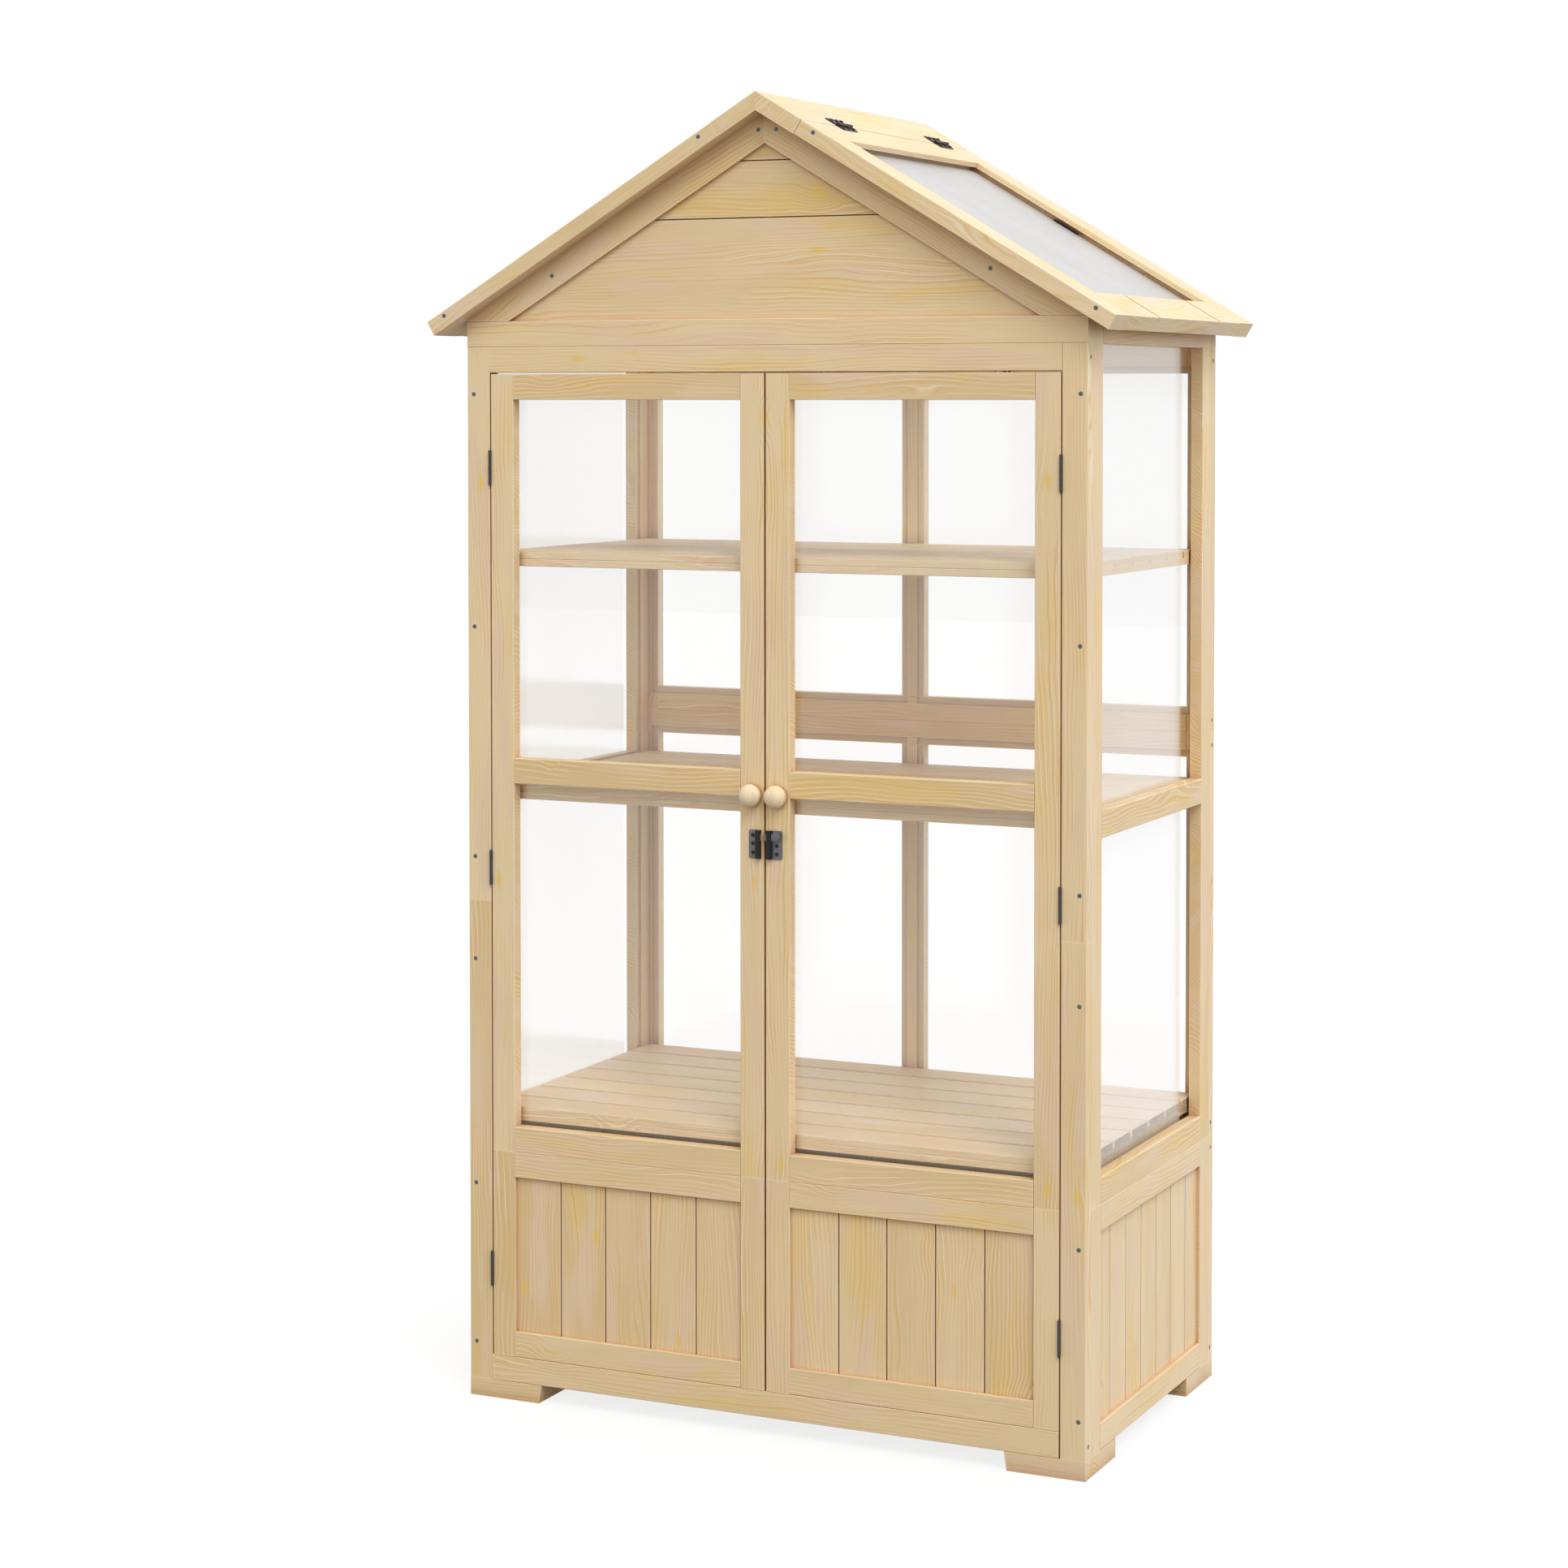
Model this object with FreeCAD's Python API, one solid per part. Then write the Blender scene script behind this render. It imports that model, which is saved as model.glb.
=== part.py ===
import FreeCAD, Part
import math
import os

# Wooden mini greenhouse, millimetres. X runs left to right, Y front to back, Z up from the floor.
# The origin is on the floor, under the middle of the roof.

# Overall size
overall_width = 1000.0
overall_depth = 565.0
overall_height = 1780.0
roof_rise = 296.75

# Timber and sheet sections
rail = 35.0
timber = 20.0
board = 9.5
roof_thick = 21.5
pane = 3.0
edge_ease = 0.8

# How the infills sit in the frames
panel_recess = 5.5
board_lap = 8.0
shadow_gap = 1.8
shadow_gap_depth = 5.0
pane_lap = 10.0

# Cabinet
eave_overhang = 47.0
front_overhang = 28.0
rear_overhang = 25.0
eave_clearance = 2.14
foot_height = 25.0
foot_length = 112.0
foot_bevel = 4.0
post_split = 689.0
waist = 344.0
side_mid_rail_top = 851.0
back_mid_split = 911.0

# Doors
door_gap = 2.0
door_bottom_gap = 0.4
door_side_gap = 1.75
meeting_gap = 2.5
door_mid_rail_top = 887.0
door_board_pitch = 69.0
wall_board_pitch = 60.75

# Shelves
shelf_front_gap = 2.0
slat_pitch = 69.3
slat_gap = 8.0
batten_width = 35.0
floor_shelf_rise = 24.0
middle_shelf_drop = 2.8
top_shelf_drop = 280.5
shelf_height = 19.7

# Gables, seams measured down from the ridge
lower_seam_drop = 163.0
upper_seam_drop = 88.0

# Roof
ridge_board_width = 77.0
flap_gap = 0.8
flap_rest_gap = 0.3
roof_side_rail = 60.0
roof_top_rail = 49.0
roof_bottom_rail = 58.4
roof_pane_depth = 14.0
roof_pane_lap = 8.0
roof_pane_groove = 7.5
front_groove_inset = 168.0
back_groove_inset = 151.0
drain_groove_width = 6.0
drain_groove_depth = 6.0

# Roof hinges, a pair of surface butt hinges
front_hinge_inset = 133.0
back_hinge_inset = 98.5
roof_hinge_length = 46.0
ridge_leaf_width = 20.0
flap_leaf_width = 12.0
roof_leaf = 1.5
roof_knuckle_radius = 2.4
roof_pin_radius = 1.2
roof_pin_height = 2.7
roof_hinge_segments = 5
roof_web_base = 0.4
ridge_leaf_screws = 13.5
flap_leaf_screws = 7.5
hinge_screw_pitch = 16.0
roof_head_radius = 2.8
roof_head_top_radius = 1.8
roof_head_out = 1.8

# Door hinges, three narrow butt hinges on each door
low_hinge_rise = 119.6
middle_hinge_level = 735.0
high_hinge_drop = 128.0
door_hinge_length = 48.0
leaf_clearance = 0.15
door_leaf_depth = 14.0
door_knuckle_radius = 2.0
door_pin_radius = 0.9
door_pin_out = 1.6
door_hinge_segments = 3
hinge_web = 1.0

# Hinge fits
pin_clearance = 0.03
hinge_sides = 8
segment_clearance = 0.2

# Knobs
knob_radius = 15.3
knob_neck_radius = 9.0
knob_neck_length = 3.0
knob_widest = 8.0
knob_length = 20.0
knob_flat_radius = 4.0
knob_waist_radius = 8.5
knob_bands = 3
knob_sides = 20
knob_drop = 33.0
knob_inset = 17.25

# Latch, a small slide bolt on the right door with its keeper on the left door
latch_drop = 64.5
latch_height = 38.0
latch_sheet = 1.5
keeper_left = -22.5
keeper_right = -5.0
latch_left = 4.0
latch_right = 26.0
rib_width = 7.0
rib_out = 5.5
rib_ease = 1.0
latch_corner = 2.0
bolt_rise = 9.5
bolt_height = 9.0
bolt_thick = 2.0
bolt_tail = 24.5
body_screw_inset = 7.5
keeper_screw_inset = 6.0
body_screw_steps = (-12.0, -1.0)
keeper_screw_steps = (-11.0, 1.0, 12.0)
bolt_nose = -0.3
bolt_fit = 0.3
bolt_knob_x = 21.0
bolt_knob_rise = 3.0
bolt_knob_radius = 5.8
bolt_knob_end_radius = 4.2
bolt_knob_sides = 8
bolt_knob_out = 9.5
bolt_neck_length = 2.2
bolt_neck_radius = 2.2

# Roof stay, a slotted prop arm on a bracket under the roof flap
stay_pivot_past_middle = 1.8
stay_plate_before = 23.5
stay_plate_after = 18.5
stay_plate_top = 10.9
stay_plate_bottom = 30.0
stay_sheet = 2.0
stay_tab_width = 9.0
stay_rivet_depth = 20.0
stay_rivet_radius = 2.2
stay_rivet_length = 1.0
stay_pivot_depth = 40.0
stay_washer_radius = 7.6
stay_arm_length = 215.0
stay_arm_width = 9.0
stay_arm_thick = 2.5
stay_slot_width = 3.4
stay_arm_tilt = 23.0
stay_pin_radius = 2.5
stay_pin_end = 1.5
stay_sides = 16

# Screws
screw_sides = 6
screw_head_radius = 3.4
screw_shank_radius = 1.6
post_screw_length = 40.0
joint_screw_length = 60.0
roof_screw_length = 85.0
gable_screw_length = 18.0
screw_head_depth = 2.6
small_head_radius = 1.9
small_head_top_radius = 1.5
small_head_out = 0.6
foot_screw_rise = 50.5
waist_screw_drop = 47.7
split_screw_drop = 81.7
split_screw_rise = 59.7
middle_screw_drop = 383.5
top_screw_drop = 64.5
apex_screw_places = (-9.0, 17.0)
apex_screw_drop = 48.3
rafter_screw_inset = 133.0
roof_top_screw = 24.0
roof_end_screw = 27.4
roof_screw_depth = 6.5
stud_radius = 1.2
stud_out = 1.4
stud_offset = 122.3
stud_spacing = 9.2
stud_setback = 2.0
head_sides = 6

# Worked-out places
half_width = overall_width / 2 - eave_overhang
front_y = front_overhang - overall_depth / 2
back_y = overall_depth / 2 - rear_overhang
inner_x = half_width - timber
inner_front = front_y + timber
inner_back = back_y - timber
pitch = math.atan2(roof_rise, overall_width / 2)
slope_length = math.hypot(roof_rise, overall_width / 2)
under_roof = overall_height - math.tan(pitch) * half_width - roof_thick / math.cos(pitch)
gable_rail_top = under_roof - eave_clearance
cabinet_top = gable_rail_top - rail
door_bottom = foot_height + rail + door_bottom_gap
door_top = cabinet_top - rail - door_gap
door_width = half_width - rail - door_side_gap - meeting_gap / 2
door_hinge_levels = (door_bottom + low_hinge_rise, middle_hinge_level, door_top - high_hinge_drop)
door_leaf = (door_side_gap - leaf_clearance) / 2
door_pin_x = half_width - rail - door_side_gap / 2
door_pin_y = front_y - door_pin_out
knob_level = door_mid_rail_top - knob_drop
knob_x = meeting_gap / 2 + knob_inset
latch_level = knob_level - latch_drop
bolt_level = latch_level + bolt_rise
bolt_knob_level = bolt_level + bolt_knob_rise
floor_shelf_top = waist + rail + floor_shelf_rise
middle_shelf_top = side_mid_rail_top - middle_shelf_drop
top_shelf_top = cabinet_top - top_shelf_drop
roof_half_depth = overall_depth / 2
hinge_u = ridge_board_width + flap_gap / 2
roof_bottom_rail_start = slope_length - roof_bottom_rail
stay_pivot_u = slope_length / 2 + stay_pivot_past_middle
stay_plate_start = stay_pivot_u - stay_plate_before
stay_plate_end = stay_pivot_u + stay_plate_after

made = {}


# Small helpers

def vec(x, y, z):
    return FreeCAD.Vector(x, y, z)


def box(x0, x1, y0, y1, z0, z1):
    corner = vec(min(x0, x1), min(y0, y1), min(z0, z1))
    return Part.makeBox(abs(x1 - x0), abs(y1 - y0), abs(z1 - z0), corner)


def eased(shape, direction, size):
    """Chamfers the long edges of a bar, those that run along the given direction."""
    longest = max(edge.Length for edge in shape.Edges)
    chosen = []
    for edge in shape.Edges:
        run = edge.Vertexes[-1].Point - edge.Vertexes[0].Point
        along = abs(run.dot(direction)) > 0.999 * run.Length
        if along and edge.Length > 0.3 * longest:
            chosen.append(edge)
    return shape.makeChamfer(size, chosen)


def rod(start, end, radius):
    run = end - start
    return Part.makeCylinder(radius, run.Length, start, run)


def flat_face(corners):
    return Part.Face(Part.makePolygon(corners + [corners[0]]))


def turned(stations, sides):
    """A many-sided turned form: each station is a centre on the axis and the radius of its corners."""
    run = stations[-1][0] - stations[0][0]
    across = vec(0, 0, 1) if abs(run.z) < run.Length / 2 else vec(0, 1, 0)
    across = across - run * (across.dot(run) / run.dot(run))
    across.normalize()
    other = run.cross(across)
    other.normalize()
    rings = []
    for centre, size in stations:
        ring = []
        for corner in range(sides):
            angle = 2 * math.pi * (corner + 0.5) / sides
            ring.append(centre + across * (size * math.cos(angle)) + other * (size * math.sin(angle)))
        rings.append(ring)
    faces = [flat_face(rings[0]), flat_face(rings[-1])]
    for low, high in zip(rings[:-1], rings[1:]):
        for corner in range(sides):
            after = (corner + 1) % sides
            faces.append(flat_face([low[corner], low[after], high[after], high[corner]]))
    solid = Part.Solid(Part.Shell(faces))
    if solid.Volume < 0:
        solid.reverse()
    return solid


def faceted(start, end, radius, end_radius, sides):
    return turned([(start, radius), (end, end_radius)], sides)


def prism(points, direction):
    return flat_face(points).extrude(direction)


def mirrored(shape):
    return shape.mirror(vec(0, 0, 0), vec(1, 0, 0))


def cut_all(shapes, tool):
    return [shape.cut(tool) for shape in shapes]


def keep(name, shapes):
    made.setdefault(name, []).extend(shapes)


# Wall faces: a runs along the wall, z is up and d is the depth behind its outer face

class Wall:
    def __init__(self, origin, along, inward):
        self.origin = origin
        self.along = along
        self.inward = inward

    def point(self, a, z, d):
        return self.origin + self.along * a + self.inward * d + vec(0, 0, z)

    def box(self, a0, a1, z0, z1, d0, d1):
        p = self.point(a0, z0, d0)
        q = self.point(a1, z1, d1)
        return box(p.x, q.x, p.y, q.y, p.z, q.z)

    def bar(self, a0, a1, z0, z1, upright):
        direction = vec(0, 0, 1) if upright else self.along
        return eased(self.box(a0, a1, z0, z1, 0, timber), direction, edge_ease)


front_wall = Wall(vec(0, front_y, 0), vec(1, 0, 0), vec(0, 1, 0))
back_wall = Wall(vec(0, back_y, 0), vec(1, 0, 0), vec(0, -1, 0))
left_wall = Wall(vec(-half_width, 0, 0), vec(0, 1, 0), vec(1, 0, 0))
right_wall = Wall(vec(half_width, 0, 0), vec(0, 1, 0), vec(-1, 0, 0))


# Frames: two full-height stiles, rails between them and, on request, a centre mullion

def frame(wall, a0, a1, z0, z1, middle_rail_top=None, mullion=False):
    members = [wall.bar(a0, a0 + rail, z0, z1, True), wall.bar(a1 - rail, a1, z0, z1, True)]
    rail_tops = [z0 + rail, z1]
    if middle_rail_top:
        rail_tops.insert(1, middle_rail_top)
    for top in rail_tops:
        members.append(wall.bar(a0 + rail, a1 - rail, top - rail, top, False))
    openings = []
    for below, above in zip(rail_tops[:-1], rail_tops[1:]):
        bay = (a0 + rail, a1 - rail, below, above - rail)
        if mullion:
            centre = (a0 + a1) / 2
            members.append(wall.bar(centre - rail / 2, centre + rail / 2, bay[2], bay[3], True))
            openings.append((bay[0], centre - rail / 2, bay[2], bay[3]))
            openings.append((centre + rail / 2, bay[1], bay[2], bay[3]))
        else:
            openings.append(bay)
    return members, openings


def glazed(wall, members, openings):
    """Lets a pane into a rebate on the inner side of every opening."""
    panes = []
    for a0, a1, z0, z1 in openings:
        low, high = z0 - pane_lap, z1 + pane_lap
        sheet = wall.box(a0 - pane_lap, a1 + pane_lap, low, high, timber - pane, timber)
        members = cut_all(members, sheet)
        panes.append(sheet)
    return members, panes


def board_profile(start, end, outer, inner):
    """A board's section, stepped back along both outer edges so that a dark gap shows at each seam."""
    lip = outer + math.copysign(shadow_gap_depth, inner - outer)
    near, far = start + shadow_gap / 2, end - shadow_gap / 2
    front = [(start, lip), (near, lip), (near, outer), (far, outer), (far, lip), (end, lip)]
    return front + [(end, inner), (start, inner)]


def boarded(wall, members, opening, board_pitch):
    """Fills an opening with upright boards held in a groove round it, seams set out from its middle."""
    a0, a1, z0, z1 = opening
    low, high = z0 - board_lap, z1 + board_lap
    near, far = panel_recess, panel_recess + board
    members = cut_all(members, wall.box(a0 - board_lap, a1 + board_lap, low, high, near, far))
    count = math.ceil((a1 - a0) / board_pitch - 0.01)
    middle = (a0 + a1) / 2
    seams = [a0 - board_lap]
    seams += [middle + (step - count / 2) * board_pitch for step in range(1, count)]
    seams += [a1 + board_lap]
    boards = []
    for left, right in zip(seams[:-1], seams[1:]):
        outline = [wall.point(a, low, d) for a, d in board_profile(left, right, near, far)]
        boards.append(prism(outline, vec(0, 0, high - low)))
    return members, boards


def side_walls():
    near, far = inner_front, inner_back
    for side, wall in (("left", left_wall), ("right", right_wall)):
        members, openings = frame(wall, near, far, waist, gable_rail_top, side_mid_rail_top)
        members, panes = glazed(wall, members, openings)
        keep("side_upper_frame_" + side, members)
        keep("side_panes_" + side, panes)
        members, openings = frame(wall, near, far, foot_height, waist)
        members, boards = boarded(wall, members, openings[0], wall_board_pitch)
        keep("side_lower_frame_" + side, members)
        keep("side_boards_" + side, boards)


def back_side():
    left, right = -half_width, half_width
    members, openings = frame(back_wall, left, right, back_mid_split, cabinet_top, mullion=True)
    members, upper_panes = glazed(back_wall, members, openings)
    keep("back_upper_frame", members)
    members, openings = frame(back_wall, left, right, waist, back_mid_split, mullion=True)
    members, lower_panes = glazed(back_wall, members, openings)
    keep("back_middle_frame", members)
    keep("back_panes", upper_panes + lower_panes)
    members, openings = frame(back_wall, left, right, foot_height, waist)
    members, boards = boarded(back_wall, members, openings[0], wall_board_pitch)
    keep("back_lower_frame", members)
    keep("back_boards", boards)


def front_frame():
    edge = half_width - rail
    for side, near, far in (("left", -half_width, -edge), ("right", edge, half_width)):
        keep("front_post_lower_" + side, [front_wall.bar(near, far, foot_height, post_split, True)])
        keep("front_post_upper_" + side, [front_wall.bar(near, far, post_split, cabinet_top, True)])
    keep("front_top_rail", [front_wall.bar(-edge, edge, cabinet_top - rail, cabinet_top, False)])
    right_end = edge - door_side_gap
    keep("front_bottom_rail", [front_wall.bar(-edge, right_end, foot_height, foot_height + rail, False)])


def feet():
    inner = half_width - foot_length
    for near, far in ((front_y, front_y + foot_length), (back_y - foot_length, back_y)):
        outline = [vec(inner, near, foot_height), vec(half_width, near, foot_height)]
        outline += [vec(half_width, near, 0), vec(inner + foot_bevel, near, 0)]
        foot = prism(outline, vec(0, far - near, 0))
        keep("feet", [foot, mirrored(foot)])


# Gables: a bottom rail, two rafters and boards let into a groove

def roof_z(x, depth):
    """Height over x of a line that runs at this depth under the top of the roof."""
    return overall_height - math.tan(pitch) * abs(x) - depth / math.cos(pitch)


def roof_x(z, depth):
    return (overall_height - depth / math.cos(pitch) - z) / math.tan(pitch)


def rafter(face_y, rest_gap):
    top = roof_thick + rest_gap
    under = roof_thick + rail
    outline = [vec(0, face_y, roof_z(0, top)), vec(half_width, face_y, roof_z(half_width, top))]
    outline.append(vec(half_width, face_y, gable_rail_top))
    outline.append(vec(roof_x(gable_rail_top, under), face_y, gable_rail_top))
    outline.append(vec(0, face_y, roof_z(0, under)))
    return prism(outline, vec(0, timber, 0))


def gable_triangle(face_y, bottom):
    reach = roof_thick + rail - board_lap
    outline = [vec(-roof_x(bottom, reach), face_y, bottom), vec(0, face_y, roof_z(0, reach))]
    outline.append(vec(roof_x(bottom, reach), face_y, bottom))
    return prism(outline, vec(0, board, 0))


def gable(name, face_y, outer_y, inner_y):
    base = box(-half_width, half_width, face_y, face_y + timber, cabinet_top, gable_rail_top)
    base = eased(base, vec(1, 0, 0), edge_ease)
    members = [base, rafter(face_y, flap_rest_gap), mirrored(rafter(face_y, 0))]
    triangle = gable_triangle(min(outer_y, inner_y), gable_rail_top - board_lap)
    seams = [overall_height - lower_seam_drop, overall_height - upper_seam_drop]
    levels = [gable_rail_top - board_lap] + seams + [roof_z(0, roof_thick)]
    boards = []
    for low, high in zip(levels[:-1], levels[1:]):
        outline = [vec(-half_width, y, z) for z, y in board_profile(low, high, outer_y, inner_y)]
        boards.append(prism(outline, vec(2 * half_width, 0, 0)).common(triangle))
    keep(name + "_frame", cut_all(members, triangle))
    keep(name + "_boards", boards)


def gables():
    outer, inner = panel_recess, panel_recess + board
    gable("front_gable", front_y, front_y + outer, front_y + inner)
    gable("back_gable", back_y - timber, back_y - outer, back_y - inner)


# Shelves: boards with gaps between them, on a base of flat battens

def shelf(name, top):
    front = inner_front + shelf_front_gap
    pieces = []
    start = front
    while start < inner_back:
        end = min(start + slat_pitch - slat_gap, inner_back)
        slat = box(-inner_x, inner_x, start, end, top - board, top)
        pieces.append(eased(slat, vec(1, 0, 0), edge_ease))
        start += slat_pitch
    low, high = top - shelf_height, top - board
    for near, far in ((front, front + batten_width), (inner_back - batten_width, inner_back)):
        batten = box(-inner_x, inner_x, near, far, low, high)
        pieces.append(eased(batten, vec(1, 0, 0), edge_ease))
    inner_end = inner_x - batten_width
    for near, far in ((-inner_x, -inner_end), (-batten_width / 2, batten_width / 2), (inner_end, inner_x)):
        pieces.append(box(near, far, front + batten_width, inner_back - batten_width, low, high))
    keep(name, pieces)


def shelves():
    shelf("floor_shelf", floor_shelf_top)
    shelf("middle_shelf", middle_shelf_top)
    shelf("top_shelf", top_shelf_top)


# Roof: worked out flat, u down the right slope from the ridge, d under its top face

def onto_slope(shape):
    placed = shape.copy()
    placed.rotate(vec(0, 0, 0), vec(0, 1, 0), math.degrees(pitch))
    placed.translate(vec(0, 0, overall_height))
    return placed


def slope_box(u0, u1, y0, y1, d0, d1):
    return box(u0, u1, y0, y1, -d0, -d1)


def slope_bar(u0, u1, y0, y1, along_slope):
    direction = vec(1, 0, 0) if along_slope else vec(0, 1, 0)
    return eased(slope_box(u0, u1, y0, y1, 0, roof_thick), direction, edge_ease)


def slope_point(u, y, d):
    x = u * math.cos(pitch) - d * math.sin(pitch)
    return vec(x, y, overall_height - u * math.sin(pitch) - d * math.cos(pitch))


def roof_panel(start):
    """The four rails and the pane of one roof panel, lying flat; the pane lies low in a wider groove."""
    edge = roof_half_depth
    inner = edge - roof_side_rail
    top_end = ridge_board_width + roof_top_rail
    side_rails = [slope_bar(start, slope_length, -edge, -inner, True)]
    side_rails.append(slope_bar(start, slope_length, inner, edge, True))
    top_rail = [slope_bar(start, top_end, -inner, inner, False)]
    bottom_rail = [slope_bar(roof_bottom_rail_start, slope_length, -inner, inner, False)]
    low, high = roof_pane_depth, roof_pane_depth + pane
    lap = roof_pane_lap
    near, far = top_end - lap, roof_bottom_rail_start + lap
    sheet = slope_box(near, far, -inner - lap, inner + lap, low, high)
    groove = slope_box(near, far, -inner - lap, inner + lap, roof_pane_groove, high)
    return [cut_all(group, groove) for group in (side_rails, top_rail, bottom_rail)] + [[sheet]]


def drain_grooves(bottom_rail):
    for place in (front_groove_inset - roof_half_depth, roof_half_depth - back_groove_inset):
        near = place - drain_groove_width / 2
        far = place + drain_groove_width / 2
        groove = slope_box(roof_bottom_rail_start, slope_length, near, far, 0, drain_groove_depth)
        bottom_rail = cut_all(bottom_rail, groove)
    return bottom_rail


def ridge_boards():
    near = -roof_half_depth
    apex = vec(0, near, overall_height)
    inner_apex = vec(0, near, roof_z(0, roof_thick))
    lap_x = roof_thick / (2 * math.sin(pitch))
    lap = vec(lap_x, near, roof_z(lap_x, 0))
    top_edge = slope_point(ridge_board_width, near, 0)
    low_edge = slope_point(ridge_board_width, near, roof_thick)
    run = vec(0, overall_depth, 0)
    left = [apex, vec(-top_edge.x, near, top_edge.z), vec(-low_edge.x, near, low_edge.z), lap]
    keep("ridge_board_left", [prism(left, run)])
    keep("ridge_board_right", [prism([lap, top_edge, low_edge, inner_apex], run)])


def roof():
    ridge_boards()
    side_rails, top_rail, bottom_rail, sheet = roof_panel(ridge_board_width)
    fixed = side_rails + top_rail + drain_grooves(bottom_rail)
    keep("left_roof_frame", [mirrored(onto_slope(shape)) for shape in fixed])
    keep("left_roof_pane", [mirrored(onto_slope(shape)) for shape in sheet])
    side_rails, top_rail, bottom_rail, sheet = roof_panel(ridge_board_width + flap_gap)
    keep("flap_side_rails", [onto_slope(shape) for shape in side_rails])
    keep("flap_top_rail", [onto_slope(shape) for shape in top_rail])
    keep("flap_bottom_rail", [onto_slope(shape) for shape in drain_grooves(bottom_rail)])
    inner = roof_half_depth - roof_side_rail
    far = inner + roof_pane_lap
    notch = slope_box(stay_plate_start, stay_plate_end, inner - stay_sheet, far, 0, roof_thick)
    keep("flap_pane", [onto_slope(shape.cut(notch)) for shape in sheet])


# Butt hinges: knuckles take turns along the pin, odd ones on the fixed leaf

def barrel_rod(start, end, radius):
    """A knuckle: its corners lie on the radius."""
    return faceted(start, end, radius, radius, hinge_sides)


def barrel_space(start, end, radius, sides=hinge_sides):
    """Room for a turning barrel: its flats clear the radius."""
    outer = (radius + pin_clearance) / math.cos(math.pi / sides)
    return faceted(start, end, outer, outer, sides)


def hinge_leaf(pin_line, first, sizes, plate, web, make_pin):
    """A plate with every second knuckle along the pin; the first leaf carries the riveted pin."""
    start, run = pin_line
    count, radius, pin_radius = sizes
    step = run.Length / count
    axis = run / run.Length
    leaf = plate.cut(barrel_space(start, start + run, radius))
    for index in range(first, count, 2):
        low = start + axis * (index * step + segment_clearance / 2)
        high = start + axis * ((index + 1) * step - segment_clearance / 2)
        leaf = leaf.fuse([barrel_rod(low, high, radius), web(low, high)])
    leaf = leaf.removeSplitter()
    if first:
        return leaf.cut(barrel_space(start, start + run, pin_radius))
    inset = axis * (segment_clearance / 2)
    return leaf.fuse(make_pin(start + inset, start + run - inset, pin_radius)).removeSplitter()


def roof_hinge(centre, make_pin):
    low = centre - roof_hinge_length / 2
    start = vec(hinge_u, low, roof_pin_height)
    run = vec(0, roof_hinge_length, 0)
    sizes = (roof_hinge_segments, roof_knuckle_radius, roof_pin_radius)
    leaves = []
    for first, way, width in ((0, -1, ridge_leaf_width), (1, 1, flap_leaf_width)):
        plate = box(hinge_u, hinge_u + way * width, low, low + roof_hinge_length, 0, roof_leaf)

        def web(near, far):
            end = hinge_u + way * (roof_knuckle_radius + hinge_web)
            return box(hinge_u, end, near.y, far.y, roof_web_base, roof_leaf)

        leaves.append(hinge_leaf((start, run), first, sizes, plate, web, make_pin))
    return leaves


def small_head(spot, outward):
    """A low screw head standing on a latch plate."""
    top = spot + outward * small_head_out
    return faceted(spot, top, small_head_radius, small_head_top_radius, head_sides)


def roof_hinges():
    """The front hinge turns on a round pin; the other one repeats it with a many-sided pin."""
    front, back = front_hinge_inset - roof_half_depth, roof_half_depth - back_hinge_inset
    for centre, make_pin in ((front, rod), (back, barrel_rod)):
        leaves = roof_hinge(centre, make_pin)
        for name, out, leaf in zip(("ridge", "flap"), (-ridge_leaf_screws, flap_leaf_screws), leaves):
            pieces = [leaf]
            for step in (-1, 0, 1):
                base = vec(hinge_u + out, centre + step * hinge_screw_pitch, roof_leaf)
                top = base + vec(0, 0, roof_head_out)
                pieces.append(faceted(base, top, roof_head_radius, roof_head_top_radius, head_sides))
            keep("roof_hinge_" + name + "_leaves", [onto_slope(piece) for piece in pieces])


def door_hinges():
    """Hinges on the right door, mirrored for the left one; the pins above and below are many-sided."""
    edge = half_width - rail
    door_edge = meeting_gap / 2 + door_width
    sizes = (door_hinge_segments, door_knuckle_radius, door_pin_radius)
    for level in door_hinge_levels:
        low, high = level - door_hinge_length / 2, level + door_hinge_length / 2
        make_pin = rod if level == middle_hinge_level else barrel_rod
        start = vec(door_pin_x, door_pin_y, low)
        run = vec(0, 0, door_hinge_length)
        leaves = []
        for first, face_x, way in ((0, edge, -1), (1, door_edge, 1)):
            plate_x = face_x + way * door_leaf
            plate = box(face_x, plate_x, front_y, front_y + door_leaf_depth, low, high)

            def web(near, far):
                return box(face_x, plate_x, door_pin_y, front_y + hinge_web, near.z, far.z)

            leaves.append(hinge_leaf((start, run), first, sizes, plate, web, make_pin))
        keep("door_hinge_post_leaves", [leaves[0], mirrored(leaves[0])])
        keep("right_door_hinge_leaves", [leaves[1]])
        keep("left_door_hinge_leaves", [mirrored(leaves[1])])


# Doors

def door(side, wall, a0, a1):
    members, openings = frame(wall, a0, a1, waist, door_top, door_mid_rail_top)
    members, panes = glazed(wall, members, openings)
    keep(side + "_door_upper_frame", members)
    keep(side + "_door_panes", panes)
    members, openings = frame(wall, a0, a1, door_bottom, waist)
    members, boards = boarded(wall, members, openings[0], door_board_pitch)
    keep(side + "_door_lower_frame", members)
    keep(side + "_door_boards", boards)


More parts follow.
